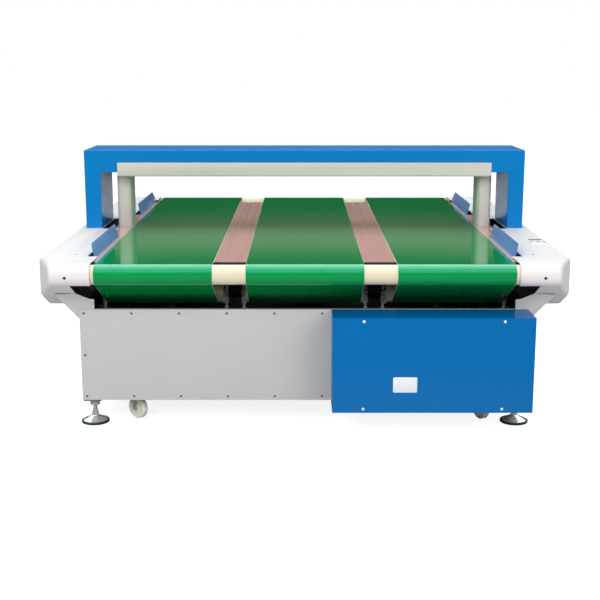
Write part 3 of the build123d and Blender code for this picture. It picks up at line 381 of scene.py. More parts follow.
def finish(name, look):
    material, tree, shader = startFinish(name)
    color = look["color"] + (1,)
    drift = useGroup(tree, toneDrift, Color=color, Amount=look.get("drift", 0.03),
                     Scale=look.get("driftScale", 2.2))
    source = drift.outputs["Color"]
    if look.get("dust"):
        dust = useGroup(tree, floorDust, Amount=look["dust"])
        tree.links.new(source, dust.inputs["Color"])
        source = dust.outputs["Color"]
    tree.links.new(source, shader.inputs["Base Color"])
    rough = look["roughness"]
    spread = look.get("glossSpread", 0.04)
    spreadGloss(tree, shader, drift.outputs["Value"], rough - spread, rough + spread)
    shader.inputs["Metallic"].default_value = look.get("metallic", 0.0)
    shader.inputs["Coat Weight"].default_value = look.get("coat", 0.0)
    shader.inputs["Coat Roughness"].default_value = look.get("coatRoughness", 0.06)
    shader.inputs["Specular IOR Level"].default_value = look.get("specular", 0.5)
    if look.get("relief"):
        skin = useGroup(tree, fineSkin, Scale=look.get("reliefScale", 900.0), Depth=1.0)
        addBump(tree, shader, skin.outputs["Height"], look["relief"], look.get("reliefStrength", 0.5))
    return material


looks = {
    "bluePaint": {"color": (0.0028, 0.188, 0.520), "roughness": 0.22, "specular": 0.16, "drift": 0.015,
                  "glossSpread": 0.004},
    "boxBlue": {"color": (0.0012, 0.134, 0.388), "roughness": 0.22, "specular": 0.10, "drift": 0.02,
                "relief": 0.004 * mm, "reliefScale": 420.0, "dust": 0.04},
    # belt guards: the same blue paint set lighter than the portal's, a painted reflection of the white covers
    # seen at a grazing view
    "guardBlue": {"color": (0.130, 0.280, 0.580), "roughness": 0.22, "specular": 0.6, "drift": 0.04,
                  "relief": 0.005 * mm, "reliefScale": 420.0},
    "whitePaint": {"color": (0.735, 0.70, 0.70), "roughness": 0.46, "specular": 0.12, "drift": 0.012,
                   "relief": 0.12 * mm, "reliefScale": 700.0, "dust": 0.06},
    "greyPaint": {"color": (0.51, 0.505, 0.50), "roughness": 0.36, "specular": 0.25, "drift": 0.02,
                  "relief": 0.08 * mm, "reliefScale": 600.0, "dust": 0.06},
    "darkPaint": {"color": (0.022, 0.022, 0.024), "roughness": 0.45, "drift": 0.15,
                  "relief": 0.1 * mm, "reliefScale": 500.0, "dust": 0.5},
    "creamCase": {"color": (0.62, 0.58, 0.54), "roughness": 0.38, "specular": 0.25, "drift": 0.015,
                  "relief": 0.08 * mm, "reliefScale": 600.0},
    "creamRoller": {"color": (0.70, 0.63, 0.46), "roughness": 0.30, "specular": 0.3, "drift": 0.03,
                    "relief": 0.05 * mm, "reliefScale": 500.0},
    "zincSteel": {"color": (0.60, 0.61, 0.62), "roughness": 0.34, "metallic": 0.6, "drift": 0.12,
                  "driftScale": 30.0, "relief": 0.03 * mm, "reliefScale": 1500.0},
    "castGrey": {"color": (0.22, 0.24, 0.26), "roughness": 0.50, "drift": 0.08,
                 "relief": 0.25 * mm, "reliefScale": 450.0},
    "motorGrey": {"color": (0.34, 0.36, 0.38), "roughness": 0.42, "metallic": 0.6, "drift": 0.08,
                  "relief": 0.15 * mm, "reliefScale": 600.0},
    "chainSteel": {"color": (0.20, 0.20, 0.205), "roughness": 0.28, "metallic": 1.0, "drift": 0.25,
                   "driftScale": 25.0, "relief": 0.03 * mm, "reliefScale": 900.0},
    "chrome": {"color": (0.82, 0.79, 0.77), "roughness": 0.20, "metallic": 0.6, "drift": 0.05,
               "driftScale": 20.0, "glossSpread": 0.03, "relief": 0.01 * mm, "reliefScale": 700.0},
    "rubber": {"color": (0.016, 0.016, 0.017), "roughness": 0.55, "drift": 0.2, "driftScale": 25.0,
               "relief": 0.1 * mm, "reliefScale": 900.0, "dust": 0.06},
    "nylonCream": {"color": (0.88, 0.86, 0.74), "roughness": 0.38, "drift": 0.05, "driftScale": 20.0,
                   "relief": 0.06 * mm, "reliefScale": 700.0, "dust": 0.08},
    "screwSteel": {"color": (0.40, 0.41, 0.42), "roughness": 0.32, "metallic": 1.0, "drift": 0.1,
                   "driftScale": 60.0, "relief": 0.02 * mm, "reliefScale": 2000.0},
    "screwBlack": {"color": (0.014, 0.014, 0.015), "roughness": 0.35, "drift": 0.2, "driftScale": 60.0,
                   "relief": 0.02 * mm, "reliefScale": 2000.0},
    "screwWhite": {"color": (0.80, 0.85, 0.90), "roughness": 0.30, "drift": 0.03, "driftScale": 60.0,
                   "relief": 0.02 * mm, "reliefScale": 2000.0},
    "panelPlastic": {"color": (0.76, 0.77, 0.79), "roughness": 0.36, "drift": 0.02, "driftScale": 20.0,
                     "relief": 0.05 * mm, "reliefScale": 1200.0},
    "displayGlass": {"color": (0.26, 0.27, 0.29), "roughness": 0.24, "coat": 0.3, "drift": 0.1,
                     "driftScale": 30.0, "glossSpread": 0.02, "relief": 0.005 * mm, "reliefScale": 300.0},
    "keyGrey": {"color": (0.42, 0.43, 0.45), "roughness": 0.42, "drift": 0.04, "driftScale": 60.0,
                "relief": 0.06 * mm, "reliefScale": 1500.0},
    "inverterBlack": {"color": (0.02, 0.02, 0.022), "roughness": 0.48, "drift": 0.15,
                      "relief": 0.12 * mm, "reliefScale": 900.0},
    "glandBlack": {"color": (0.012, 0.012, 0.013), "roughness": 0.42, "drift": 0.15, "driftScale": 60.0,
                   "relief": 0.06 * mm, "reliefScale": 1200.0},
    "nutSteel": {"color": (0.74, 0.74, 0.73), "roughness": 0.36, "metallic": 0.4, "drift": 0.10,
                 "driftScale": 40.0, "relief": 0.01 * mm, "reliefScale": 1500.0},
    "forkSteel": {"color": (0.56, 0.57, 0.60), "roughness": 0.34, "metallic": 0.6, "drift": 0.12,
                  "driftScale": 35.0, "relief": 0.02 * mm, "reliefScale": 1200.0},
    "keyMark": {"color": (0.05, 0.05, 0.055), "roughness": 0.40, "drift": 0.04, "driftScale": 60.0,
                "relief": 0.03 * mm, "reliefScale": 1500.0},
    "beltEdge": {"color": (0.62, 0.64, 0.52), "roughness": 0.7, "drift": 0.08, "driftScale": 40.0,
                 "relief": 0.1 * mm, "reliefScale": 2500.0},
    "plateWhite": {"color": (0.78, 0.82, 0.86), "roughness": 0.3, "drift": 0.02, "driftScale": 20.0,
                   "relief": 0.02 * mm, "reliefScale": 900.0},
}
finishes = {name: finish(name, look) for name, look in looks.items()}

beltLook = {"color": (0.0040, 0.260, 0.064), "roughness": 0.055, "spread": 0.010, "drift": 0.04,
            "driftScale": 1.6, "lines": 0.002 * mm, "linesStrength": 0.4, "across": 230.0, "along": 1.2}


def makeBeltFinish(look):      # smooth belt skin, with faint lines along its travel
    material, tree, shader = startFinish("beltGreen")
    drift = useGroup(tree, toneDrift, Color=look["color"] + (1,), Amount=look["drift"],
                     Scale=look["driftScale"])
    tree.links.new(drift.outputs["Color"], shader.inputs["Base Color"])
    lines = useGroup(tree, streaks, Across=look["across"], Along=look["along"])
    rough, spread = look["roughness"], look["spread"]
    spreadGloss(tree, shader, lines.outputs["Value"], rough - spread, rough + spread)
    addBump(tree, shader, lines.outputs["Value"], look["lines"], look["linesStrength"])
    return material


# Both laminate tones are set lighter than the board's own brown: a painted reflection on the strips seen
# between the belts, over the real grain
bedLook = {"dark": (0.70, 0.385, 0.330), "light": (0.80, 0.48, 0.425), "glossy": 0.11, "matt": 0.22,
           "coat": 0.5, "relief": 0.03 * mm, "reliefStrength": 0.5, "grain": (420.0, 5.0),
           "veins": (60.0, 1.1), "grainShare": 0.5, "darkAt": 0.36, "lightAt": 0.64}


def makeBedFinish(look):       # brown laminate with a fine grain along the belts
    material, tree, shader = startFinish("bedBrown")
    grain = useGroup(tree, streaks, Across=look["grain"][0], Along=look["grain"][1])
    veins = useGroup(tree, streaks, Across=look["veins"][0], Along=look["veins"][1])
    share = look["grainShare"]
    both = mathNode(tree, "ADD", mathNode(tree, "MULTIPLY", grain.outputs["Value"], share),
                    mathNode(tree, "MULTIPLY", veins.outputs["Value"], 1 - share))
    ramp = tree.nodes.new("ShaderNodeValToRGB")
    for element, tone in zip(ramp.color_ramp.elements, ("dark", "light")):
        element.position = look[tone + "At"]
        element.color = look[tone] + (1,)
    tree.links.new(both, ramp.inputs["Fac"])
    tree.links.new(ramp.outputs["Color"], shader.inputs["Base Color"])
    spreadGloss(tree, shader, both, look["glossy"], look["matt"])
    shader.inputs["Coat Weight"].default_value = look["coat"]
    addBump(tree, shader, both, look["relief"], look["reliefStrength"])
    return material


threadLook = {"color": (0.86, 0.86, 0.87), "roughness": 0.40, "metallic": 0.45, "drift": 0.08,
              "driftScale": 30.0, "perMetre": 660.0, "depth": 0.35 * mm, "depthStrength": 0.8}


def makeThreadFinish(look):        # bright rod with the ridges of its thread
    material, tree, shader = startFinish("threadSteel")
    drift = useGroup(tree, toneDrift, Color=look["color"] + (1,), Amount=look["drift"],
                     Scale=look["driftScale"])
    tree.links.new(drift.outputs["Color"], shader.inputs["Base Color"])
    shader.inputs["Metallic"].default_value = look["metallic"]
    shader.inputs["Roughness"].default_value = look["roughness"]
    turns = mathNode(tree, "MULTIPLY", splitAxes(tree, placeOf(tree))["Z"], look["perMetre"])
    ridges = mathNode(tree, "PINGPONG", turns, 0.5)
    addBump(tree, shader, ridges, look["depth"], look["depthStrength"])
    return material


finishes["threadSteel"] = makeThreadFinish(threadLook)
finishes["beltGreen"] = makeBeltFinish(beltLook)
finishes["bedBrown"] = makeBedFinish(bedLook)
print("stage 2:", len(finishes), "finishes mixed")


# Names, boxes and axes taken from the frame

def boxOf(node):
    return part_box(node)


def camel(node):               # a node's name as its piece has it
    first, *others = node.split("_")
    return first + "".join(word.capitalize() for word in others)


def axisOf(node):              # y and z of a roller's axis
    low, high = boxOf(node)
    return (low.y + high.y) / 2, (low.z + high.z) / 2


rollerLow, rollerHigh = boxOf("front_roller")
rollerRadius = (rollerHigh.z - rollerLow.z) / 2


def bandRound(name, x, axes, radius, steps):       # a sheet laid round parallel axes, top run first
    y0, z0 = axes[0]
    y1 = axes[1][0]
    clearSelection()
    bpy.ops.mesh.primitive_plane_add(size=1, location=((x[0] + x[1]) / 2, (y0 + y1) / 2, z0 + radius))
    piece = bpy.context.object
    piece.name = name
    piece.scale = (x[1] - x[0], y1 - y0, 1)
    bpy.ops.object.transform_apply(location=True, rotation=True, scale=True)
    bpy.ops.object.mode_set(mode="EDIT")
    pickEdges(piece, lambda a, b: min(a.y, b.y) > y1 - near)
    heading = 0.0
    ring = list(axes[1:]) + [axes[0]]
    for i, (y, z) in enumerate(ring):
        nextY, nextZ = ring[(i + 1) % len(ring)]
        target = math.atan2(-(nextZ - z), nextY - y) % math.tau
        turn = (target - heading) % math.tau
        count = max(3, round(steps * turn / math.tau))
        bpy.ops.mesh.spin(steps=count, angle=turn, center=(0, y, z), axis=(1, 0, 0))
        heading = target
        if i < len(ring) - 1:
            push((0, nextY - y, nextZ - z))
    tidyNormals()
    mesh = bmesh.from_edit_mesh(piece.data)
    top = max(mesh.faces, key=lambda f: f.calc_center_median().z)
    if top.normal.z < 0:
        bpy.ops.mesh.flip_normals()
    closeEdit()
    return piece


beltSettings = {"thickness": 2.5 * mm, "steps": 120, "rim": 0.9 * mm, "rimSegments": 2,
                "rimFrom": 60, "smoothTo": 40, "flatWeight": 100, "edgeTilt": 0.3}


def makeBelts(settings):
    axes = [axisOf(roller) for roller in
            ("front_roller", "drive_drum", "rear_guide_roller", "centre_tension_roller")]
    radius = boxOf("centre_belt")[1].z - axes[0][1]
    for side in lanes:
        node = side + "_belt"
        low, high = boxOf(node)
        belt = bandRound(side + "Belt", (low.x, high.x), axes, radius, settings["steps"])
        applyModifier(belt, "SOLIDIFY", thickness=settings["thickness"], offset=-1)
        roundEdges(belt, settings["rim"], settings["rimSegments"], settings["rimFrom"])
        smooth(belt, settings["smoothTo"])
        applyModifier(belt, "WEIGHTED_NORMAL", mode="FACE_AREA", weight=settings["flatWeight"],
                      keep_sharp=True)
        belt.data.materials.append(finishes["beltGreen"])
        belt.data.materials.append(finishes["beltEdge"])
        for face in belt.data.polygons:
            face.material_index = 1 if abs(face.normal.x) > settings["edgeTilt"] else 0
        settle(belt, None, "machine", "belt_green", node)


makeBelts(beltSettings)
print("stage 3: belts laid")


rollerSettings = {"chamfer": 1.5 * mm, "recess": 5 * mm, "rimWall": 4 * mm, "steps": 72, "seat": 1 * mm,
                  "pastBelt": 36 * mm, "shaft": 12.5 * mm, "tensionReach": 263 * mm,
                  "tensionShaft": 10 * mm, "smoothTo": 35}


def makeRoller(node, x, shaftRadius, shaft, settings):     # a tube with sunk ends on a bevelled shaft
    y, z = axisOf(node)
    r, c = rollerRadius, settings["chamfer"]
    wall, recess = settings["rimWall"], settings["recess"]
    bevel = settings["seat"]
    half = [
        (shaft[1], 0),
        (shaft[1], shaftRadius - bevel),
        (shaft[1] - bevel, shaftRadius),
        (x[1] - recess, shaftRadius),
        (x[1] - recess, r - wall),
        (x[1] - bevel, r - wall),
        (x[1], r - wall + bevel),
        (x[1], r - c),
        (x[1] - c, r),
    ]
    other = [
        (x[0] + c, r),
        (x[0], r - c),
        (x[0], r - wall + bevel),
        (x[0] + bevel, r - wall),
        (x[0] + recess, r - wall),
        (x[0] + recess, shaftRadius),
        (shaft[0] + bevel, shaftRadius),
        (shaft[0], shaftRadius - bevel),
        (shaft[0], 0),
    ]
    points = [(px, y, z + pr) for px, pr in half + other]
    roller = turned(camel(node), points, (0, y, z), (1, 0, 0), settings["steps"])
    smooth(roller, settings["smoothTo"])
    roller.data.materials.append(finishes["creamRoller"])
    roller.data.materials.append(finishes["zincSteel"])
    for face in roller.data.polygons:
        spot = face.center
        far = math.hypot(spot.y - y, spot.z - z)
        face.material_index = 1 if far < shaftRadius + near and not x[0] < spot.x < x[1] - recess else 0
    settle(roller, None, node, "roller_cream", node)


def makeRollers(settings):
    end = boxOf("left_belt")[0].x - settings["pastBelt"]
    for node in ("front_roller", "drive_drum", "rear_guide_roller"):
        low, high = boxOf(node)
        makeRoller(node, (end, -end), settings["shaft"], (low.x, high.x), settings)
    for side in lanes:
        node = side + "_tension_roller"
        low, high = boxOf(node)
        middle, reach = (low.x + high.x) / 2, settings["tensionReach"]
        makeRoller(node, (middle - reach, middle + reach), settings["tensionShaft"], (low.x, high.x),
                   settings)


makeRollers(rollerSettings)
print("stage 4: rollers turned")


# Which body and which slot each CAD node belongs to

bodyOf = {node: body for body, nodes in frame["record"]["behaviour"]["bodies"].items() for node in nodes}
slotOf = {row["node"]: row["material_slot"] for row in frame["record"]["subparts"]}


def dressed(piece, look, *nodes):      # finish and body of the nodes that the piece stands for
    return settle(piece, finishes[look], bodyOf[nodes[0]], slotOf[nodes[0]], *nodes)


# Folded and machined pieces: the node's own shape with its edges broken, as the shop would

sheetWork = {"portalEdge": 3.2 * mm, "boxEdge": 2.4 * mm, "panelEdge": 2.2 * mm, "steps": 4,
             "smoothTo": 50, "shortEdge": 10 * mm}


def outlineRounded(node, look, width, wanted):     # only the picked edges get a wide round
    piece = copyOfNode(node, camel(node))
    openEdit(piece)
    pickEdges(piece, wanted)
    bevelPicked(width, sheetWork["steps"])
    closeEdit()
    smooth(piece, sheetWork["smoothTo"])
    return dressed(piece, look, node)


def makeSheets(settings):
    low, high = boxOf("portal_cover")

    def portalOutline(a, b):
        onFace = abs(a.y - b.y) < near and (abs(a.y - low.y) < near or abs(a.y - high.y) < near)
        atFoot = max(a.z, b.z) < low.z + near
        return onFace and not atFoot

    outlineRounded("portal_cover", "bluePaint", settings["portalEdge"], portalOutline)
    boxLow, boxHigh = boxOf("control_box")

    def boxOutline(a, b):
        atFront = max(a.y, b.y) < boxLow.y + near
        atTop = min(a.z, b.z) > boxHigh.z - near
        outside = min(abs(a.x - boxLow.x), abs(a.x - boxHigh.x)) < near and abs(a.x - b.x) < near
        level, deep = abs(a.z - b.z) < near, abs(a.y - b.y) > settings["shortEdge"]
        return (atFront and level) or (atTop and outside and deep)

    outlineRounded("control_box", "boxBlue", settings["boxEdge"], boxOutline)
    for node in ("front_panel", "rear_panel"):
        panelLow, panelHigh = boxOf(node)
        outer = panelLow.y if node == "front_panel" else panelHigh.y

        def fold(a, b):
            atTop = min(a.z, b.z) > panelHigh.z - near
            return atTop and abs(a.y - outer) < near and abs(b.y - outer) < near

        outlineRounded(node, "greyPaint", settings["panelEdge"], fold)


makeSheets(sheetWork)
print("stage 5: sheet metal folded")

# Each entry: node, finish, how wide its edges are broken
roundedNodes = [
    ("upper_probe", "creamCase", 2.0 * mm), ("probe_legs", "creamCase", 2.0 * mm),
    ("lower_probe", "creamCase", 1.5 * mm), ("belt_guards", "guardBlue", 0.6 * mm),
    ("bed_board", "bedBrown", 1.2 * mm), ("left_cover", "whitePaint", 0.6 * mm),
    ("right_cover", "whitePaint", 0.6 * mm), ("left_side_panel", "greyPaint", 0.5 * mm),
    ("right_side_panel", "greyPaint", 0.5 * mm), ("rod_foot_rail", "darkPaint", 1.5 * mm),
    ("tension_brackets", "darkPaint", 0.8 * mm), ("side_plates", "darkPaint", 0.8 * mm),
    ("roller_bearings", "castGrey", 1.2 * mm), ("bed_rails", "darkPaint", 0.8 * mm),
    ("gear_motor", "motorGrey", 0.5 * mm), ("drum_sprocket", "chainSteel", 0.3 * mm),
    ("motor_sprocket", "chainSteel", 0.3 * mm), ("inverter", "inverterBlack", 0.6 * mm),
    ("cable_gland", "glandBlack", 0.5 * mm), ("caster_plates", "zincSteel", 0.8 * mm),
    ("foot_lock_nuts", "nutSteel", 1.2 * mm), ("tension_rods", "threadSteel", 0.5 * mm),
    ("control_panel", "panelPlastic", 0.4 * mm), ("display", "displayGlass", 0.2 * mm),
    ("cover_screws", "screwBlack", 0.4 * mm),
]
for side in lanes:
    roundedNodes.append((side + "_tension_carriage", "nutSteel", 0.7 * mm))
corners = [node.replace("_foot", "") for node in frame["nodes"] if node.endswith("_foot")]
for corner in corners:
    roundedNodes.append((corner + "_caster_fork", "forkSteel", 0.7 * mm))
for node, look, width in roundedNodes:
    dressed(copyOfNode(node, camel(node), width), look, node)

frontCutTilt = 0.3             # faces that look this far to the front are the board's dark cut
board = bpy.data.objects["bedBoard"]
board.data.materials.append(finishes["darkPaint"])
for face in board.data.polygons:
    if face.normal.y < -frontCutTilt:
        face.material_index = 1

for node, look in (("base_frame", "darkPaint"), ("drive_chain", "chainSteel")):    # kept as CAD made them
    part = frame["nodes"][node]
    part.data.materials.clear()
    part.data.materials.append(finishes[look])
print("stage 6:", len(roundedNodes), "machined pieces with their edges broken")


# Levelling feet: a chrome cone on a threaded stem, in a black rubber rim

footSettings = {
    "steps": 56, "stem": 9 * mm, "pitch": 1.75 * mm, "threadDepth": 0.9 * mm, "threadFrom": 67 * mm,
    "tip": 1.2 * mm, "rubberTop": 12.2 * mm, "smoothTo": 38,
    "rim": [(0, 0), (57 * mm, 0), (60.6 * mm, 0.9 * mm), (62 * mm, 3.2 * mm), (62 * mm, 9.4 * mm),
            (61 * mm, 11.4 * mm), (58.6 * mm, 12 * mm), (55 * mm, 12 * mm)],
    "cone": [(55 * mm, 13.2 * mm), (53.4 * mm, 14.6 * mm), (49 * mm, 15.8 * mm), (21 * mm, 29.6 * mm),
             (16.6 * mm, 32.6 * mm), (15 * mm, 35 * mm), (15 * mm, 45 * mm), (14.2 * mm, 46.6 * mm),
             (12.4 * mm, 52 * mm), (11.2 * mm, 60 * mm), (11 * mm, 65 * mm), (10.4 * mm, 66 * mm)],
}


def footProfile(top, settings):        # radius and height, from the floor to the top of the stem
    stem, pitch = settings["stem"], settings["pitch"]
    points = settings["rim"] + settings["cone"]
    height = settings["threadFrom"]
    while height + pitch < top:
        points.append((stem - settings["threadDepth"], height))
        points.append((stem, height + pitch / 2))
        height += pitch
    return points + [(stem - settings["tip"], top), (0, top)]


def makeFeet(settings):
    for corner in corners:
        node = corner + "_foot"
        low, high = boxOf(node)
        x, y = (low.x + high.x) / 2, (low.y + high.y) / 2
        points = [(x + r, y, low.z + h) for r, h in footProfile(high.z - low.z, settings)]
        foot = turned(camel(node), points, (x, y, 0), (0, 0, 1), settings["steps"])
        smooth(foot, settings["smoothTo"])
        foot.data.materials.append(finishes["chrome"])
        foot.data.materials.append(finishes["rubber"])
        for face in foot.data.polygons:
            face.material_index = 1 if face.center.z < low.z + settings["rubberTop"] else 0
        settle(foot, None, bodyOf[node], slotOf[node], node)


makeFeet(footSettings)
print("stage 7: levelling feet turned")


# Caster wheels: cream nylon with rounded edges

wheelSettings = {"edge": 1.1 * mm, "segments": 3, "smoothTo": 40}


def makeWheels(settings):
    for corner in corners:
        node = corner + "_caster_wheel"
        wheel = copyOfNode(node, camel(node), settings["edge"], settings["segments"])
        smooth(wheel, settings["smoothTo"])
        dressed(wheel, "nylonCream", node)


makeWheels(wheelSettings)


# Screws of the panels and the box: a low dome with a round socket

screwSettings = {"steps": 28, "socketShare": 0.36, "depthShare": 0.75, "lipShare": 0.08, "lipDrop": 0.02,
                 "domeShares": [(0.66, 0.05), (0.88, 0.3), (1, 0.7)],      # of radius and of height
                 "smoothTo": 35}


def screwAt(name, centre, radius, height, facing, settings):     # facing -1 looks to the front
    base = centre.y - facing * height / 2
    top = base + facing * height
    socket = radius * settings["socketShare"]
    bottom = top - facing * height * settings["depthShare"]
    points = [(0, bottom), (socket, bottom), (socket, top - facing * height * settings["lipDrop"]),
              (socket + radius * settings["lipShare"], top)]
    points += [(radius * out, top - facing * height * down) for out, down in settings["domeShares"]]
    points += [(radius, base), (0, base)]
    return turned(name, [(centre.x + r, y, centre.z) for r, y in points], centre, (0, 1, 0),
                  settings["steps"])


def makeScrews(node, look, settings):
    loose = copyOfNode(node, camel(node) + "Spots")
    openEdit(loose)
    bpy.ops.mesh.separate(type="LOOSE")
    closeEdit()
    spots = [obj for obj in bpy.context.scene.objects if obj.name.startswith(camel(node) + "Spots")]
    heads = []
    spots.sort(key=lambda o: (o.data.vertices[0].co.x, o.data.vertices[0].co.z))
    for i, spot in enumerate(spots):
        coords = [v.co for v in spot.data.vertices]
        low = Vector(min(c[k] for c in coords) for k in range(3))
        high = Vector(max(c[k] for c in coords) for k in range(3))
        centre = (low + high) / 2
        facing = -1 if centre.y < 0 else 1
        radius, height = (high.x - low.x) / 2, high.y - low.y
        heads.append(screwAt(camel(node) + str(i), centre, radius, height, facing, settings))
    for spot in spots:
        bpy.data.objects.remove(spot)
    piece = joined(heads, camel(node))
    smooth(piece, settings["smoothTo"])
    return dressed(piece, look, node)


makeScrews("panel_screws", "screwSteel", screwSettings)
makeScrews("control_box_screws", "screwWhite", screwSettings)
print("stage 8: wheels and screws made")


# Keys of the control panel: grey caps with a plain raised shape

keySettings = {"symbol": 4.6 * mm, "relief": 0.35 * mm, "edge": 0.4 * mm,
               "shapes": {"start_key": (3, -math.pi / 2), "stop_key": (4, math.pi / 4),
                          "reset_key": (24, 0.0)}}         # corners, turn


def symbolOn(name, corners, turn, place, settings):     # a flat raised shape on a key
    clearSelection()
    bpy.ops.mesh.primitive_circle_add(vertices=corners, radius=settings["symbol"], fill_type="NGON",
                                      location=place, rotation=(0, 0, turn))
    mark = bpy.context.object
    mark.name = name
    bpy.ops.object.transform_apply(location=True, rotation=True, scale=True)
    openEdit(mark)
    push((0, 0, settings["relief"]))
    tidyNormals()
    closeEdit()
    return mark


def makeKeys(settings):
    for node, (corners, turn) in settings["shapes"].items():
        low, high = boxOf(node)
        top = high.z - settings["relief"]
        key = copyOfNode(node, camel(node), settings["edge"])
        openEdit(key)
        bpy.ops.transform.resize(value=(1, 1, (top - low.z) / (high.z - low.z)),
                                 center_override=(0, 0, low.z))
        closeEdit()
        place = ((low.x + high.x) / 2, (low.y + high.y) / 2, top)
        mark = symbolOn(camel(node) + "Mark", corners, turn, place, settings)
        dressed(key, "keyGrey", node)
        settle(mark, finishes["keyMark"], bodyOf[node], slotOf[node])


makeKeys(keySettings)


# The bare plate on the control box

plateSettings = {"width": 102 * mm, "height": 67 * mm, "thickness": 0.8 * mm, "x": 425 * mm,
                 "z": 240 * mm, "corner": 5 * mm, "cornerSteps": 4, "edge": 0.25 * mm,
                 "edgeSteps": 2}


def makeBarePlate(settings):
    front = boxOf("control_box")[0].y
    half, rise = settings["width"] / 2, settings["height"] / 2
    x, z = settings["x"], settings["z"]
    plate = blockFrom("barePlate", (x - half, front - settings["thickness"], z - rise),
                      (x + half, front, z + rise))
    openEdit(plate)
    pickEdges(plate, lambda a, b: abs(a.y - b.y) > near)
    bevelPicked(settings["corner"], settings["cornerSteps"])
    closeEdit()
    roundEdges(plate, settings["edge"], settings["edgeSteps"])
    smooth(plate)
    settle(plate, finishes["plateWhite"], "machine", "screw_white")


makeBarePlate(plateSettings)
print("stage 9: control panel and bare plate fitted")


# Floor, light and camera

floorSettings = {"size": 60.0, "tone": 0.62, "toneMirrored": 0.14, "glow": 0.86, "roughness": 0.9}


def makeFloor(settings):       # pale, and brighter to the camera than in the gloss of the machine
    clearSelection()
    bpy.ops.mesh.primitive_plane_add(size=settings["size"])
    floor = bpy.context.object
    floor.name = "studioFloor"
    paint, tree, shader = startFinish("floorPaint")
    shader.inputs["Roughness"].default_value = settings["roughness"]
    shader.inputs["Specular IOR Level"].default_value = 0.0
    shader.inputs["Emission Color"].default_value = (1, 1, 1, 1)
    path = tree.nodes.new("ShaderNodeLightPath")
    tone = rangeNode(tree, path.outputs["Is Glossy Ray"], 0.0, 1.0, settings["tone"],
                     settings["toneMirrored"])
    glow = mathNode(tree, "MULTIPLY", path.outputs["Is Camera Ray"], settings["glow"])
    tree.links.new(tone, shader.inputs["Base Color"])
    tree.links.new(glow, shader.inputs["Emission Strength"])
    floor.data.materials.append(paint)


# The room as the gloss sees it, by the sine of the angle above the horizon: behind the machine
# a dark wall with two dim bands, and a bright ceiling over all
skySettings = {
    "backdrop": (1.0, 1.0, 1.0), "ambient": (0.42, 0.42, 0.42), "strength": 4.0, "seam": 0.05,
    "behind": [(0.0, (0.003, 0.004, 0.004)), (0.050, (0.003, 0.004, 0.004)),
               (0.066, (0.075, 0.070, 0.068)), (0.082, (0.075, 0.070, 0.068)),
               (0.100, (0.003, 0.004, 0.004)), (0.131, (0.003, 0.004, 0.004)),
               (0.141, (0.035, 0.031, 0.028)), (0.149, (0.078, 0.068, 0.062)),
               (0.154, (0.090, 0.077, 0.070)), (0.161, (0.062, 0.054, 0.049)),
               (0.172, (0.003, 0.004, 0.004)), (0.40, (0.02, 0.02, 0.02)),
               (0.50, (0.80, 0.95, 0.98)), (0.80, (0.60, 0.92, 0.98)), (1.0, (0.28, 0.90, 1.0))],
    "inFront": [(0.0, (0.016, 0.016, 0.016)), (0.46, (0.016, 0.016, 0.016)),
                (0.62, (0.16, 0.62, 0.70)), (1.0, (0.28, 0.90, 1.0))],
}


def skyRamp(tree, height, points):
    ramp = tree.nodes.new("ShaderNodeValToRGB")
    elements = ramp.color_ramp.elements
    for i, (position, color) in enumerate(points):
        element = elements[i] if i < 2 else elements.new(position)
        element.position = position
        element.color = color + (1,)
    tree.links.new(height, ramp.inputs["Fac"])
    return ramp.outputs["Color"]


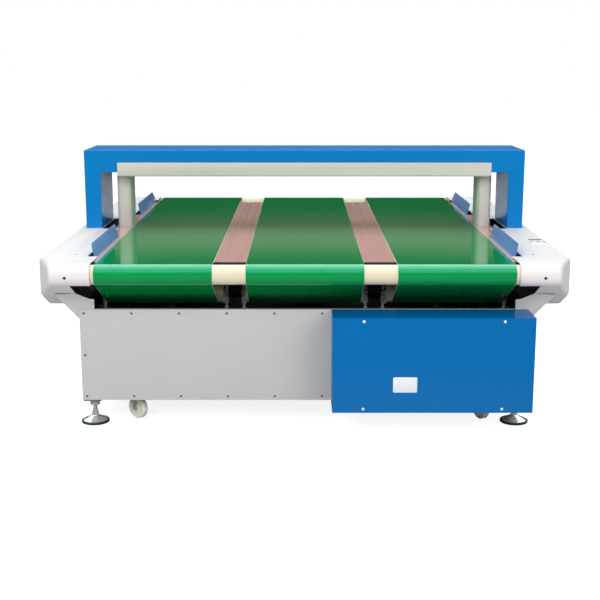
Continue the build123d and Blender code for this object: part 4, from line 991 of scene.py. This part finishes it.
def makeSky(settings):
    world = bpy.data.worlds.new("studioAir")
    world.use_nodes = True
    tree = world.node_tree
    background = tree.nodes["Background"]
    background.inputs["Strength"].default_value = 1.0
    axes = splitAxes(tree, tree.nodes.new("ShaderNodeTexCoord").outputs["Generated"])
    halves = [skyRamp(tree, axes["Z"], settings[half]) for half in ("inFront", "behind")]
    toRear = rangeNode(tree, axes["Y"], -settings["seam"], settings["seam"], 0.0, 1.0)
    sky = mixColors(tree, toRear, *halves)
    brighter = tree.nodes.new("ShaderNodeVectorMath")
    brighter.operation = "SCALE"
    brighter.inputs["Scale"].default_value = settings["strength"]
    tree.links.new(sky, brighter.inputs[0])
    path = tree.nodes.new("ShaderNodeLightPath")
    ambient, backdrop = settings["ambient"] + (1,), settings["backdrop"] + (1,)
    lit = mixColors(tree, path.outputs["Is Glossy Ray"], ambient, brighter.outputs[0])
    seen = mixColors(tree, path.outputs["Is Camera Ray"], lit, backdrop)
    tree.links.new(seen, background.inputs["Color"])
    bpy.context.scene.world = world


lampSettings = {
    "keyLight": {"place": (-2.4, -5.2, 3.6), "size": (3.4, 3.4), "power": 185.0,
                 "target": (0, 0, 0.6), "inGloss": False},
    "fillLight": {"place": (3.4, -4.8, 3.0), "size": (3.2, 3.2), "power": 115.0,
                  "target": (0, 0, 0.5), "inGloss": False},
    "topLight": {"place": (0.0, 0.2, 4.6), "size": (5.0, 4.0), "power": 110.0,
                 "target": (0, 0, 0), "inGloss": True},
}


def addSoftbox(name, settings):
    light = bpy.data.lights.new(name, "AREA")
    light.shape = "RECTANGLE"
    light.size, light.size_y = settings["size"]
    light.energy = settings["power"]
    lamp = bpy.data.objects.new(name, light)
    lamp.location = settings["place"]
    bpy.context.scene.collection.objects.link(lamp)
    lamp.visible_glossy = settings["inGloss"]
    aim = Vector(settings["target"]) - lamp.location
    lamp.rotation_euler = aim.to_track_quat("-Z", "Y").to_euler()


cameraSettings = {"place": (-0.0159, -5.7306, 1.5635), "tilt": 12.064, "yaw": 0.0011, "lens": 65.74,
                  "sensor": 36.0}


def makeCamera(settings):
    data = bpy.data.cameras.new("photoCamera")
    data.lens = settings["lens"]
    data.sensor_width = settings["sensor"]
    camera = bpy.data.objects.new("photoCamera", data)
    camera.location = settings["place"]
    camera.rotation_euler = (math.radians(90 - settings["tilt"]), 0, settings["yaw"])
    bpy.context.scene.collection.objects.link(camera)
    bpy.context.scene.camera = camera


makeFloor(floorSettings)
makeSky(skySettings)
for name, settings in lampSettings.items():
    addSoftbox(name, settings)
bpy.context.scene.view_settings.view_transform = "Standard"
makeCamera(cameraSettings)
print("stage 10: floor, light and camera set")
